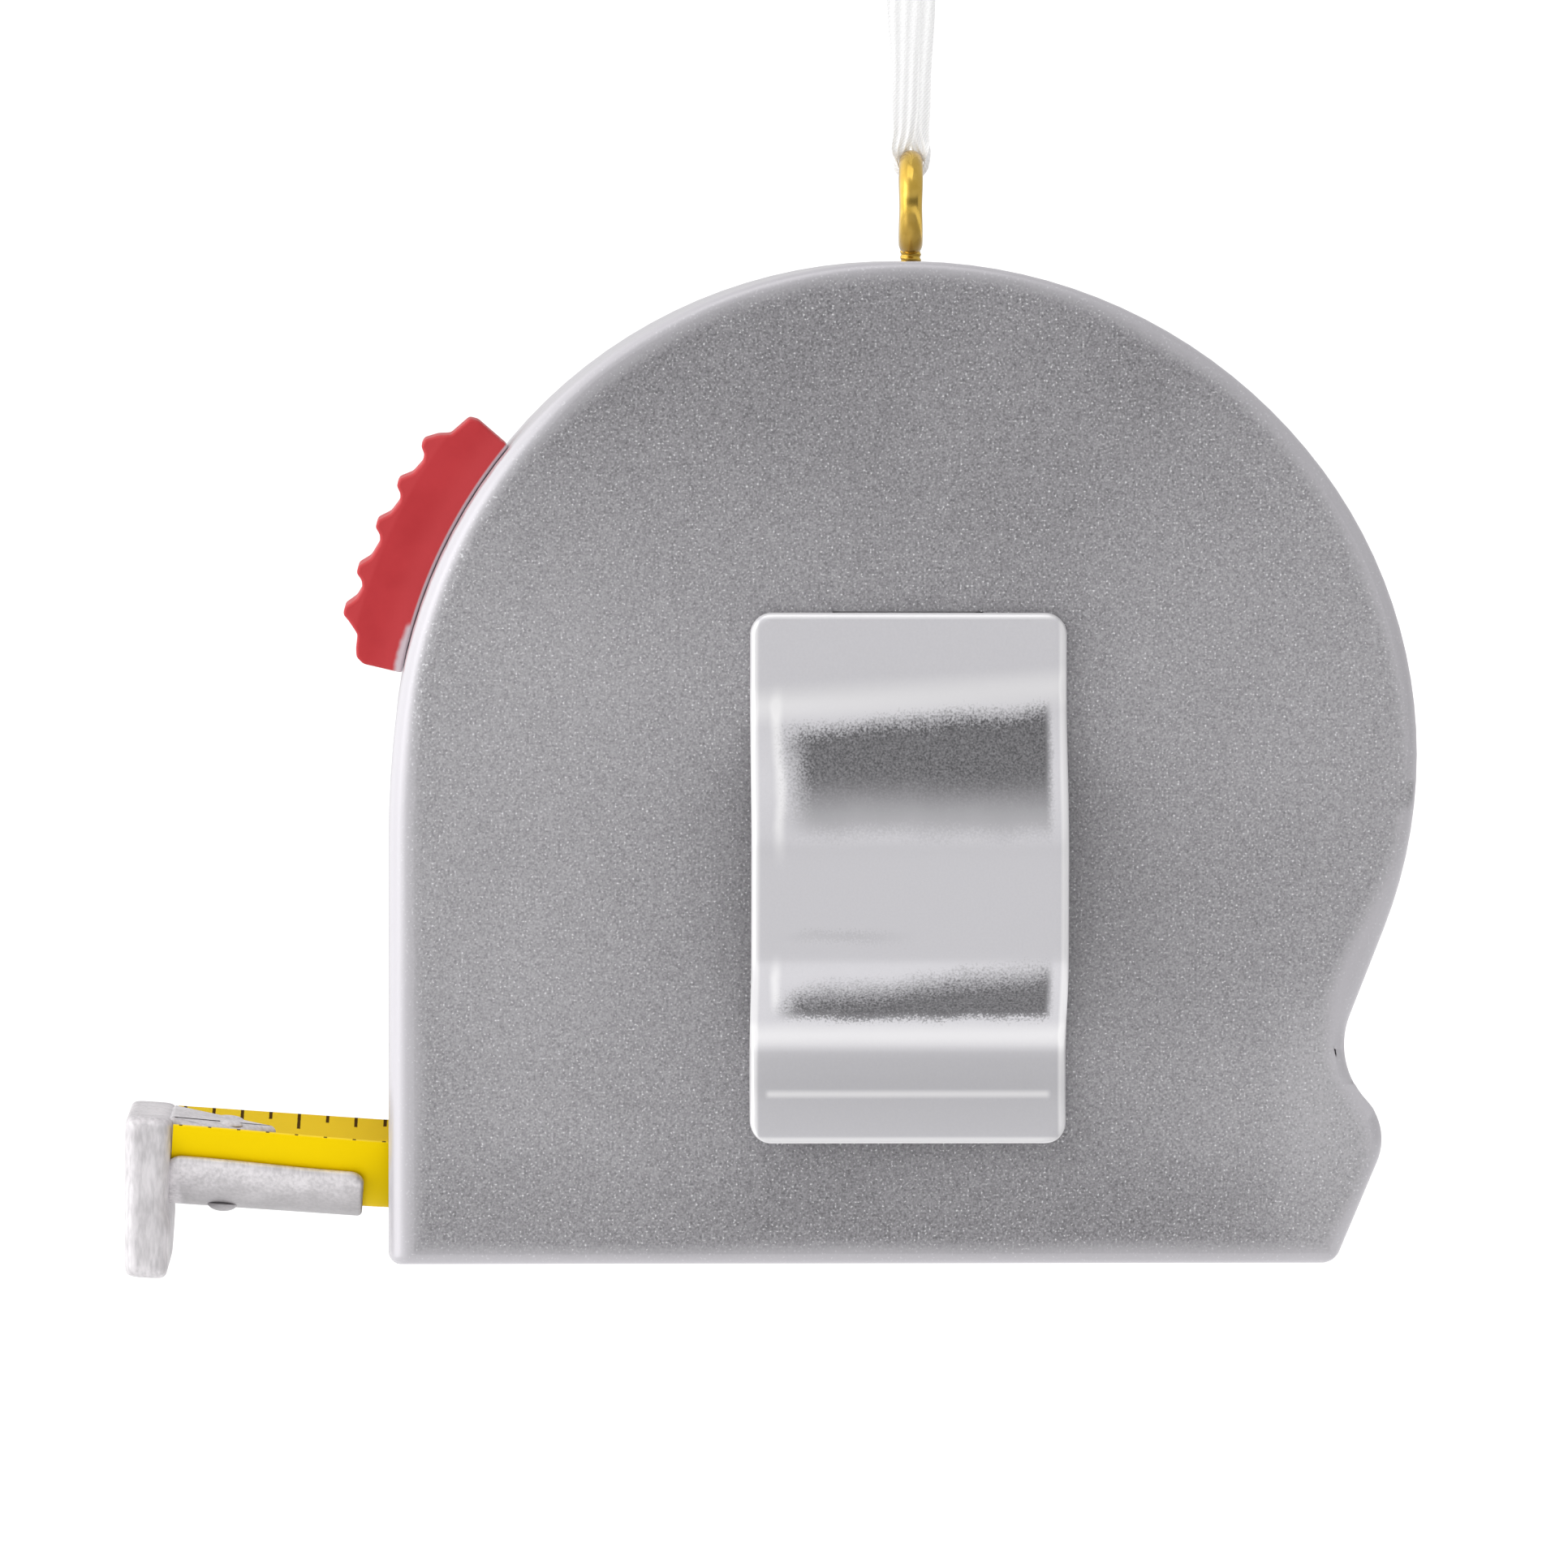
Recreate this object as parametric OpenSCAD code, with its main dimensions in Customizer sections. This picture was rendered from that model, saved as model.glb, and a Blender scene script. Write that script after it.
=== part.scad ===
// Pocket tape measure hung from a ribbon by a gold screw eye.
// X runs from the end hook (-X) to the back of the case, Y from the belt clip side (-Y) to the
// badge side, Z up.  The origin is the crook of the hanging loop, straight above the screw eye.

/* [Blade and reel] */
// Width of the steel blade
blade_w = 12.7; // [9:0.1:20]
// Thickness of the blade
blade_t = 0.3; // [0.15:0.05:0.6]
// Depth of the blade's crown, from its edges to its underside
crown_depth = 4.9; // [2:0.1:6]
// Length of blade that stands out of the mouth
blade_out = 13.3; // [8:0.1:30]
// Length of straight blade inside the case
blade_in = 38.5; // [20:0.5:44]
// Upward tilt of the blade outside the mouth
blade_tilt = 4; // [0:0.5:8]
// Outer radius of the wound blade
coil_r = 22.5; // [18:0.1:30]
// Outer radius of the reel's drum
drum_r = 12; // [8:0.1:15]
// Thickness of the drum's wall
drum_wall = 1; // [0.6:0.1:2]
// Thickness of each reel flange
flange_t = 1; // [0.6:0.1:2]
// Radius of the arbor
arbor_r = 2.5; // [2:0.1:4]

/* [Case] */
// Thickness of the case's walls
wall = 1.6; // [1:0.1:2.5]
// Thickness of the case's floor
floor_t = 1; // [0.8:0.1:2]
// Room between the wound blade and the outside of the case's top
shell_gap = 9.2; // [8:0.1:14]
// Radius of the left flank
flank_r = 66; // [50:1:90]
// Radius of the hollow in the back edge
notch_r = 5; // [3:0.1:7]
// Radius of the heel below the hollow
heel_r = 3.6; // [2.5:0.1:4.5]
// Height of the bosses that carry the arbor
boss_h = 2.75; // [1.5:0.05:5]

/* [Screw eye and ribbon] */
// Radius of the eye's wire
wire_r = 0.75; // [0.5:0.05:1.2]
// Radius of the ring, at the middle of its wire
ring_r = 2.55; // [2:0.05:4]
// Height of the ring's centre over the case
ring_stand = 3.65; // [3:0.05:6]
// Length of thread inside the case
thread_l = 5.6; // [3:0.1:8]
// Width of the ribbon
ribbon_w = 2.5; // [1.5:0.1:4]
// Thickness of the gathered ribbon
ribbon_t = 0.2; // [0.1:0.05:0.4]

/* [Lock] */
// Height of the button over the case
button_h = 4.4; // [3:0.1:6]
// Width of the button, front to back
button_w = 10; // [6:0.5:14]
// Angle at which the button starts, at its top end
button_a0 = 140.5; // [138:0.5:146]
// Angle at which the button ends, at its bottom end
button_a1 = 168.7; // [164:0.1:172]
// Angle that the button slides through
lock_travel = 7; // [4:0.5:8]
// Number of ribs on the button
rib_count = 5; // [3:1:6]

/* [Belt clip] */
// Width of the clip
clip_w = 19.5; // [12:0.5:24]
// Length of the clip
clip_l = 32.6; // [24:0.1:36]
// Thickness of the clip's steel
clip_t = 1; // [0.6:0.1:1.6]
// How far the clip's belly stands off the case
clip_belly = 3; // [2:0.1:5]

/* [End hook] */
// Thickness of the hook's lip, which is also how far the hook floats
lip_t = 3; // [1:0.1:4]
// Height of the lip
lip_h = 10.05; // [8:0.05:14]
// Length of the lower tongue
tongue_l = 12.1; // [8:0.1:12.3]
// Thickness of the lower tongue
tongue_t = 0.6; // [0.4:0.05:1]
// Length of the upper tongue
spade_l = 6.4; // [5:0.1:7]
// Radius of the rivets
rivet_r = 0.6; // [0.4:0.05:0.9]

/* [Fits] */
// Radial clearance of a shaft in a hole
run_gap = 0.05; // [0.02:0.01:0.1]
// Clearance between parts that slide past each other
slide_gap = 0.15; // [0.1:0.05:0.3]
// Clearance between the blade and what it passes
pass_gap = 0.35; // [0.25:0.05:0.6]

/* [Hidden] */
$fn = 72;

// Colours
silver = [0.66, 0.66, 0.68];
bright = [0.80, 0.80, 0.82];
steel = [0.72, 0.73, 0.75];
gold = [0.85, 0.66, 0.22];
red = [0.80, 0.24, 0.26];
yellow = [0.97, 0.84, 0.05];
black = [0.12, 0.12, 0.13];
white = [0.95, 0.95, 0.95];

// Fits that are the same everywhere
thread_fit = 0.02;
clear_fit = 0.1;
head_gap = 0.15;
end_gap = 0.05;

// Heights through the case, from the middle plane outwards
edge_gap = 0.15;
washer_t = 0.5;
flange_in = blade_w / 2 + edge_gap;
flange_out = flange_in + flange_t;
washer_in = flange_out + run_gap;
washer_out = washer_in + washer_t;
spring_half = blade_w / 2 - 0.9;
boss_face = washer_out + clear_fit;
case_half = boss_face + boss_h + wall;
inner_half = case_half - wall;

// Outline of the case: four arcs that flow into each other, a hollow and a heel
crown_r = coil_r + shell_gap;
crown_c = [0.35, -1.3];
flank_a = 173;
brow_a = 86;
back_a = 37;
brow_r = crown_r + 0.4;
back_r = crown_r - 2.25;
flank_c = polar(crown_c, crown_r - flank_r, flank_a);
brow_c = polar(crown_c, crown_r - brow_r, brow_a);
back_c = polar(brow_c, brow_r - back_r, back_a);
left_x = flank_c[0] - flank_r;
notch_a = -30.7;
notch_play = 0.47;
notch_c = polar(back_c, back_r + notch_r + notch_play, notch_a);
back_end_a = notch_a + acos((back_r + notch_r) / (back_r + notch_r + notch_play));
heel_link_a = -136.6;
heel_c = polar(notch_c, notch_r + heel_r, heel_link_a);
heel_a = -22.7;

// Path of the blade
blade_r = (blade_w * blade_w / 4 + crown_depth * crown_depth) / (2 * crown_depth);
blade_gap = 1.65;
guide_t = 0.35;
guide_l = 9;
edge_z = -coil_r - blade_gap;
blade_axis_z = edge_z - crown_depth + blade_r;
tongue_r = blade_r + run_gap;
base_z = edge_z - crown_depth - tongue_t - 3 * run_gap - pass_gap - guide_t - floor_t;
blade_half_a = asin(blade_w / 2 / blade_r);
mouth_lift = 1;
mouth_top = edge_z + blade_out * tan(blade_tilt) + mouth_lift;
mouth_bottom = base_z + floor_t;
chord_z = blade_axis_z - edge_z;

// End hook and its rivets, in the frame of the tilted stretch
rivet_x = -blade_out + 3.3;
rivet_y = 1.8;
rivet_head = 0.35;
tongue_half_a = 57;
spade_y = 4.6;
spade_drop = 0.25;
lip_foot = 0.65;
lip_lean = -0.15;
lip_over = 0.25;

// Place of the case under the hanging loop
eye_top_z = -21.4;
reel_x = -1.05;
reel_z = eye_top_z - ring_r - ring_stand - crown_c[1] - crown_r;
ring_z = eye_top_z - ring_r;
thread_r = wire_r - 0.1;
block_half = [2.4, 3.2];
block_top = crown_c[1] + crown_r - wall / 2;

// Screws of the case
screw_r = 1;
head_r = 1.9;
head_t = 1.2;
head_sink = 0.3;
boss_r = 2.3;
boss_in = crown_r - wall - boss_r - 0.5;
screw_at = [polar(crown_c, boss_in, 43), polar(crown_c, boss_in, 118),
            [heel_c[0] - 1.4, base_z + floor_t + boss_r + 0.9]];

// Badge in the middle of the rear face
badge_r = 13;
badge_depth = 0.5;

// Flanges of the reel
flange_r = coil_r + 0.9;
window_r = 3.4;
window_at = coil_r - 5.4;
cover_gap = 0.02;
arbor_wall = 1.6;

// Lock: all its parts turn about the centre of the case's crown
stem_a0 = 149.5;
stem_a1 = 160;
stem_play = 0.7;
slide_out = crown_r - wall - 0.8;
slide_in = slide_out - 2.2;
slide_w = 6;
stem_w = 5;
slide_a1 = 189.3;
pin_at = [left_x + 17.1, edge_z + 1.85];
pin_r = 0.9;
pin_boss = 1.1;
lever_half = 2.4;
pad_at = [left_x + 9.7, edge_z];
pad_half = 1.9;
pad_lift = 0.45;
arm_x = left_x + 4.6;
arm_top = polar(crown_c, slide_in, slide_a1)[1] - 0.35;

// Belt clip
clip_x = 0.38;
clip_top = 8.8;
rise_at = 4.6;
rise_l = 10;
fall_at = 21.4;
fall_l = 5.8;
clip_toe = 4;
toe_off = 1.2;
tab_w = 9;
tab_drop = 1.6;
tab_z = clip_top - clip_t - 0.3;
tab_gap = 0.35;

// Ribbon: points up one strand, from under the eye's wire to the inside of the knot
strand = [[0.03, 0, -22.36], [-0.35, 0, -22.3], [-0.68, 0, -22.08], [-0.92, 0, -21.7],
          [-0.97, 0, -21.3], [-0.86, -0.05, -20.85], [-0.66, -0.15, -20.4], [-0.5, -0.28, -19.8],
          [-0.42, -0.42, -19], [-0.4, -0.6, -17], [-0.42, -0.75, -15], [-0.48, -0.85, -12.5],
          [-0.5, -0.9, -10], [-0.7, -0.9, -7.5], [-1.1, -0.8, -5], [-1.5, -0.5, -2.5],
          [-1.7, -0.2, 0], [-1.3, 0, 2], [-0.5, 0, 3.2]];
knot_z = 3;
knot_r = 2.2;

function polar(c, r, a) = [c[0] + r * cos(a), c[1] + r * sin(a)];
function reverse(v) = [for (i = [len(v) - 1:-1:0]) v[i]];
function unit(v) = v / norm(v);
function arc(c, r, a0, a1, n) = [for (i = [0:n]) polar(c, r, a0 + (a1 - a0) * i / n)];

// Shapes drawn in the XZ plane and carried along Y
module slab(y0, y1) {
    translate([0, y1, 0]) rotate([90, 0, 0]) linear_extrude(height = y1 - y0) children();
}

module rod(at, r, y0, y1) {
    translate([at[0], y1, at[1]]) rotate([90, 0, 0]) cylinder(r = r, h = y1 - y0);
}

module disc(c, r) {
    translate(c) circle(r = r);
}

// A wedge whose tip is c, between two angles less than 180 apart
module wedge(c, r, a0, a1) {
    polygon([c, polar(c, 2 * r, a0), polar(c, 2 * r, (a0 + a1) / 2), polar(c, 2 * r, a1)]);
}

module pie(c, r, a0, a1) {
    intersection() {
        disc(c, r);
        wedge(c, r, a0, a1);
    }
}

module arc_band(c, r0, r1, a0, a1) {
    difference() {
        pie(c, r1, a0, a1);
        disc(c, r0);
    }
}

// The case's outline, moved in by a wall thickness, with its floor moved in by its own
module outline(inset, floor_inset) {
    heel_edge = polar(heel_c, heel_r - inset, heel_a);
    floor_z = base_z + floor_inset;
    corner_x = heel_edge[0] + (heel_edge[1] - floor_z) * tan(heel_a);
    polygon(concat([[left_x + inset, floor_z]],
                   arc(flank_c, flank_r - inset, 180, flank_a, 4),
                   arc(crown_c, crown_r - inset, flank_a - 3, brow_a, 28),
                   arc(brow_c, brow_r - inset, brow_a - 3, back_a, 16),
                   arc(back_c, back_r - inset, back_a - 3, back_end_a, 18),
                   arc(notch_c, notch_r + inset, back_end_a + 180, heel_link_a + 360, 14),
                   arc(heel_c, heel_r - inset, heel_link_a + 176, heel_a, 12),
                   [[corner_x, floor_z]]));
}

module in_case() {
    translate([reel_x, 0, reel_z]) children();
}

// Everything the two shells share: side -1 is the clip's, side 1 is the badge's
module shell_half(side) {
    y0 = side < 0 ? -case_half : 0;
    y1 = side < 0 ? 0 : case_half;
    in0 = side < 0 ? -inner_half : -1;
    in1 = side < 0 ? 1 : inner_half;
    difference() {
        union() {
            difference() {
                slab(y0, y1) outline(0, 0);
                slab(in0, in1) outline(wall, floor_t);
            }
            for (at = screw_at) rod(at, boss_r, side < 0 ? -case_half + wall / 2 : 0,
                                    side < 0 ? 0 : case_half - wall / 2);
            rod([0, 0], arbor_r + arbor_wall, side < 0 ? -case_half + wall / 2 : boss_face,
                side < 0 ? -boss_face : case_half - wall / 2);
            rod(pin_at, pin_r + pin_boss, side < 0 ? -case_half + wall / 2 : flange_out,
                side < 0 ? -flange_out : case_half - wall / 2);
            eye_block(side);
        }
        translate([left_x - 1, -blade_w / 2 - pass_gap, mouth_bottom])
            cube([wall + 2, blade_w + 2 * pass_gap, mouth_top - mouth_bottom]);
        slab(-stem_w / 2 - slide_gap, stem_w / 2 + slide_gap)
            arc_band(crown_c, crown_r - wall - 1, crown_r + 1, stem_a0 - lock_travel - stem_play,
                     stem_a1 + stem_play);
        rod([0, 0], arbor_r + run_gap, -case_half + wall, case_half - wall - 0.85);
        rod(pin_at, pin_r + run_gap, -case_half + wall, case_half - wall);
        translate([-reel_x, 0, crown_c[1] + crown_r - thread_l - 0.3])
            cylinder(r = thread_r + thread_fit, h = thread_l + 2);
    }
}

// The block that clamps the eye's thread, half in each shell
module eye_block(side) {
    translate([-reel_x - block_half[0], side < 0 ? -block_half[1] : 0, block_top - thread_l])
        cube([2 * block_half[0], block_half[1], thread_l]);
}

module case_front() {
    color(silver) in_case() difference() {
        shell_half(-1);
        for (at = screw_at) rod(at, screw_r + thread_fit, -case_half + wall, 1);
        clip_slot();
    }
}

module case_rear() {
    color(silver) in_case() difference() {
        shell_half(1);
        for (at = screw_at) {
            rod(at, screw_r + clear_fit, -1, case_half + 1);
            rod(at, head_r + head_gap, case_half - head_t - head_sink, case_half + 1);
        }
        rod([0, 0], screw_r + clear_fit, 0, case_half + 1);
        rod([0, 0], head_r + head_gap, case_half - head_t - badge_depth - 0.12, case_half + 1);
        rod([0, 0], badge_r + clear_fit, case_half - badge_depth, case_half + 1);
    }
}

module rear_badge() {
    color(silver) in_case()
        rod([0, 0], badge_r, case_half - badge_depth + thread_fit, case_half - end_gap);
}

module screw(at, tip, under_head) {
    difference() {
        union() {
            rod(at, screw_r, tip, under_head + 0.1);
            rod(at, head_r, under_head, under_head + head_t);
        }
        for (a = [0, 90]) translate([at[0], under_head + head_t, at[1]]) rotate([0, a, 0])
            cube([2.2, 1.2, 0.5], center = true);
    }
}

module case_screws() {
    color(steel) in_case() for (at = screw_at)
        screw(at, -case_half + wall + 0.5, case_half - head_t - head_sink + thread_fit);
}

// The slot in the clip side's shell that takes the clip's tab
module clip_slot() {
    translate([clip_x - tab_w / 2 - slide_gap, -case_half - 1, tab_z - tab_gap])
        cube([tab_w + 2 * slide_gap, wall + 1.01, clip_t + 2 * tab_gap]);
}

module screw_eye() {
    color(gold) union() {
        translate([0, 0, ring_z]) rotate([0, 90, 0]) rotate_extrude() translate([ring_r, 0])
            circle(r = wire_r);
        translate([0, 0, ring_z - ring_stand - thread_l])
            cylinder(r = thread_r, h = thread_l + ring_stand - ring_r);
    }
}

// How far the clip's steel stands off the case, a length s down from its top: flat on the
// case, a smooth rise to a level belly, a steeper fall back, then a toe that turns out
function step(t) = let (u = min(1, max(0, t))) u * u * (3 - 2 * u);
function clip_off(s) =
    clip_belly * (step((s - rise_at) / rise_l) - step((s - fall_at) / fall_l)) +
    toe_off * pow(max(0, s - clip_l + clip_toe) / clip_toe, 2);

module clip_profile() {
    steps = 60;
    under = [for (i = [0:steps]) let (s = clip_l * i / steps)
             [-case_half - run_gap - clip_off(s), clip_top - s]];
    polygon(concat(under, [for (p = reverse(under)) p - [clip_t, 0]]));
}

module belt_clip() {
    color(bright) in_case() union() {
        translate([clip_x - clip_w / 2, 0, 0]) rotate([90, 0, 90])
            linear_extrude(height = clip_w) clip_profile();
        translate([clip_x - tab_w / 2, -case_half - run_gap - clip_t / 2, tab_z])
            cube([tab_w, wall + clip_t + 0.6, clip_t]);
        translate([clip_x - tab_w / 2, -case_half + wall + 0.2, tab_z])
            cube([tab_w, 0.9, tab_drop + clip_t]);
    }
}

module mouth_bumper() {
    color(black) in_case() translate([left_x + wall + 0.02, -5.9, mouth_top + 0.3])
        cube([1.5, 11.8, 4]);
}

// A shoe on the floor behind the mouth, hollowed to the blade's crown and the hook's tongue
module blade_guide() {
    hollow_r = tongue_r + tongue_t + 2 * run_gap + pass_gap;
    color(black) in_case() difference() {
        translate([left_x + wall + end_gap, -blade_w / 2 - 3, mouth_bottom])
            cube([guide_l, blade_w + 6, 5.2]);
        translate([left_x, 0, blade_axis_z]) rotate([0, 90, 0])
            cylinder(r = hollow_r, h = 2 * guide_l);
    }
}

module arbor() {
    color(steel) in_case() difference() {
        rod([0, 0], arbor_r, -case_half + wall + end_gap, case_half - wall - 0.9);
        rod([0, 0], screw_r + thread_fit, 3, case_half);
        translate([-0.35, -spring_half - 0.2, -arbor_r - 1])
            cube([0.7, 2 * spring_half - 2.6, arbor_r + 1]);
    }
}

module arbor_screw() {
    color(steel) in_case() screw([0, 0], 4, case_half - head_t - badge_depth - clear_fit);
}

module reel_drum() {
    color(black) in_case() difference() {
        union() {
            rod([0, 0], flange_r, -flange_out, -flange_in);
            rod([0, 0], drum_r, -flange_in - 0.1, flange_in);
        }
        rod([0, 0], drum_r - drum_wall, -flange_in, flange_in + 1);
        rod([0, 0], arbor_r + run_gap, -flange_out - 1, 0);
        for (a = [30:60:330])
            rod(polar([0, 0], window_at, a), window_r, -flange_out - 1, -flange_in + 0.01);
    }
}

module reel_cover() {
    color(black) in_case() difference() {
        union() {
            rod([0, 0], flange_r, flange_in, flange_out);
            rod([0, 0], drum_r - drum_wall - cover_gap, flange_in - 0.8, flange_out);
        }
        rod([0, 0], drum_r - drum_wall - 1, flange_in - 1, flange_in);
        rod([0, 0], arbor_r + run_gap, 0, flange_out + 1);
        for (a = [30:60:330])
            rod(polar([0, 0], window_at, a), window_r, flange_in - 0.01, flange_out + 1);
    }
}

module reel_washers() {
    color(steel) in_case() for (y0 = [-washer_out, washer_in]) difference() {
        rod([0, 0], arbor_r + 1.5, y0, y0 + washer_t);
        rod([0, 0], arbor_r + run_gap, y0 - 1, y0 + washer_t + 1);
    }
}

// A flat spiral whose radius grows evenly with its angle
module power_spring() {
    spring_t = 0.25;
    r0 = arbor_r + 0.4;
    r1 = drum_r - drum_wall - 0.5;
    turns = 5;
    steps = turns * 24;
    line = [for (i = [0:steps]) let (u = i / steps) [r0 + (r1 - r0) * u, 360 * turns * u - 90]];
    color(steel) in_case() union() {
        slab(-spring_half, spring_half - 3)
            polygon(concat([for (p = line) polar([0, 0], p[0], p[1])],
                           [for (p = reverse(line)) polar([0, 0], p[0] + spring_t, p[1])]));
        translate([-spring_t / 2, -spring_half, -r0 - spring_t / 2 - 0.05])
            cube([spring_t * 1.6, 2 * spring_half - 3, 1.8]);
    }
}

module blade_coil() {
    color(yellow) in_case() difference() {
        rod([0, 0], coil_r, -blade_w / 2, blade_w / 2);
        rod([0, 0], drum_r + cover_gap, -blade_w, blade_w);
    }
}

// The blade's section, a thin arc open upwards, centred on the middle of its circle
module crown_section(r0, r1, half_a) {
    difference() {
        pie([0, 0], r1, -90 - half_a, -90 + half_a);
        circle(r = r0);
    }
}

// Carries a section drawn in YZ along X from x0 to x1
module along_x(x0, x1) {
    translate([x0, 0, 0]) rotate([90, 0, 90]) linear_extrude(height = x1 - x0) children();
}

// The frame of the tilted stretch: origin on the crown's axis at the mouth, -X towards the hook
module tilted() {
    translate([left_x, 0, blade_axis_z]) rotate([0, blade_tilt, 0]) children();
}

module rivet_holes(r) {
    for (y = [-rivet_y, rivet_y]) translate([rivet_x, y, -blade_r - 3])
        cylinder(r = r, h = blade_r + 3);
}

// One closed ring of the blade's section: at is where the crown's axis passes, lean its angle
function blade_ring(at, lean) =
    let (n = 24,
         turn = function (r, i) let (a = blade_half_a * (2 * i / n - 1))
                [at[0] - r * cos(a) * sin(lean), r * sin(a), at[1] - r * cos(a) * cos(lean)])
    concat([for (i = [0:n]) turn(blade_r, i)], [for (i = [n:-1:0]) turn(blade_r - blade_t, i)]);

// Level inside the case, mitred at the mouth and tilted outside it
module blade_strip() {
    tip = polar([left_x, blade_axis_z], blade_out, 180 - blade_tilt);
    stations = [blade_ring([left_x + blade_in, blade_axis_z], 0),
                blade_ring([left_x, blade_axis_z], blade_tilt / 2), blade_ring(tip, blade_tilt)];
    m = len(stations[0]);
    last = len(stations) - 1;
    sides = [for (i = [0:last - 1], k = [0:m - 1])
             [i * m + k, i * m + m + k, i * m + m + (k + 1) % m, i * m + (k + 1) % m]];
    polyhedron(points = [for (s = stations) each s],
               faces = concat(sides, [[for (k = [0:m - 1]) k]],
                              [[for (k = [m - 1:-1:0]) last * m + k]]), convexity = 6);
}

module blade() {
    color(yellow) in_case() difference() {
        blade_strip();
        tilted() rivet_holes(rivet_r + thread_fit);
    }
}

module rivet_slots(r) {
    for (y = [-rivet_y, rivet_y]) translate([rivet_x, y, -blade_r - 4]) {
        cylinder(r = r, h = blade_r + 4);
        translate([0, -r, 0]) cube([lip_t, 2 * r, blade_r + 4]);
        translate([lip_t, 0, 0]) cylinder(r = r, h = blade_r + 4);
    }
}

// A lip, a tongue that cups the blade's underside and a pointed one that fills its crown
module end_hook() {
    root_x = -blade_out - run_gap;
    top = -chord_z + lip_over;
    spade_r = blade_r - blade_t - run_gap;
    color(steel) in_case() tilted() difference() {
        union() {
            slab(-blade_w / 2 - 0.25, blade_w / 2 + 0.25)
                polygon([[root_x, top], [root_x, -blade_r - 0.75], [root_x - lip_lean, top - lip_h],
                         [root_x - lip_t + lip_foot, top - lip_h], [root_x - lip_t, top]]);
            along_x(root_x - 0.3, root_x + tongue_l)
                crown_section(tongue_r, tongue_r + tongue_t, tongue_half_a);
            intersection() {
                along_x(root_x - 0.3, root_x + spade_l) pie([0, 0], spade_r, -90 - 70, -90 + 70);
                translate([root_x - 0.3, 0, -blade_r])
                    linear_extrude(height = blade_r - chord_z - spade_drop)
                        polygon([[0, -spade_y], [2.6, -spade_y], [spade_l + 0.3, 0],
                                 [2.6, spade_y], [0, spade_y]]);
            }
        }
        rivet_slots(rivet_r + run_gap);
    }
}

module hook_rivets() {
    top = -chord_z - spade_drop + run_gap;
    bottom = -sqrt(pow(tongue_r + tongue_t, 2) - pow(rivet_y - 1, 2)) - run_gap;
    color(steel) in_case() tilted() for (y = [-rivet_y, rivet_y]) {
        translate([rivet_x, y, bottom - 0.3]) cylinder(r = rivet_r, h = top - bottom + 0.5);
        translate([rivet_x, y, bottom - rivet_head])
            cylinder(r = rivet_r + rivet_head, h = rivet_head);
        translate([rivet_x, y, top]) cylinder(r = rivet_r + rivet_head, h = 0.3);
    }
}

// Ribs are what is left between scallops cut along the button's face
module lock_button() {
    foot_r = crown_r + slide_gap;
    face_r = crown_r + button_h;
    rib_step = 4.65;
    first_a = (button_a0 + button_a1) / 2 - rib_step * (rib_count - 1) / 2 + 0.5;
    scallop_r = 1.75;
    color(red) in_case() union() {
        slab(-button_w / 2, button_w / 2) difference() {
            arc_band(crown_c, foot_r, face_r, button_a0, button_a1);
            for (i = [0:rib_count]) disc(polar(crown_c, face_r + scallop_r - 0.6,
                                               first_a + (i - 0.5) * rib_step), scallop_r);
            for (a = [button_a0 - 0.5, button_a1 + 0.6]) disc(polar(crown_c, face_r + 0.4, a), 1.7);
        }
        slab(-stem_w / 2, stem_w / 2)
            arc_band(crown_c, slide_out, foot_r + 0.5, stem_a0, stem_a1);
    }
}

module lock_slide() {
    color(black) in_case() slab(-slide_w / 2, slide_w / 2)
        arc_band(crown_c, slide_in, slide_out, button_a0 + 1, slide_a1);
}

// A leaf bent round a peg, bearing on the inside of the slide
module lock_spring() {
    color(steel) in_case() slab(-slide_w / 2, slide_w / 2) union() {
        arc_band(crown_c, slide_in - 0.65, slide_in - 0.4, 144, 172);
        arc_band(crown_c, slide_in - 1.4, slide_in - 0.4, 143, 144.2);
    }
}

module brake_lever() {
    arm_t = 2;
    color(steel) in_case() difference() {
        union() {
            rod(pin_at, pin_r + pin_boss, -lever_half, lever_half);
            slab(-lever_half, lever_half)
                polygon([pin_at + [0.3, -1.6], pad_at + [-pad_half, 0.4],
                         [arm_x - arm_t / 2, pad_at[1] + 5], [arm_x - arm_t / 2, arm_top],
                         [arm_x + arm_t / 2, arm_top], [arm_x + arm_t / 2, pad_at[1] + 5.6],
                         pad_at + [0.6, 3.1], pin_at + [0.3, 1.6]]);
        }
        rod(pin_at, pin_r + run_gap, -lever_half - 1, lever_half + 1);
    }
}

module brake_pin() {
    color(steel) in_case() rod(pin_at, pin_r, -case_half + wall + end_gap, case_half - wall - end_gap);
}

module brake_pad() {
    color(black) in_case() difference() {
        intersection() {
            translate([pad_at[0] - pad_half, -4, edge_z - crown_depth])
                cube([2 * pad_half, 8, crown_depth + 2.2]);
            translate([left_x, 0, blade_axis_z + pad_lift]) rotate([0, 90, 0])
                cylinder(r = blade_r - blade_t - end_gap, h = 20);
        }
        translate([pad_at[0] - 3, -lever_half - thread_fit, edge_z - 0.6])
            cube([6, 2 * (lever_half + thread_fit), 10]);
    }
}

// Rings of a flat eight-sided tube, narrow where it is gathered round the eye's wire
function ribbon_ring(p, t) =
    let (gather = min(1, max(0, (p[2] + 20.5) / 6)),
         half_w = 0.45 + (ribbon_w / 2 - 0.45) * gather * gather * (3 - 2 * gather),
         n = unit([t[2], 0, -t[0]]))
    [for (k = [0:7]) p + n * (ribbon_t / 2 * cos(45 * k + 22.5)) + [0, half_w * sin(45 * k + 22.5), 0]];

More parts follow.
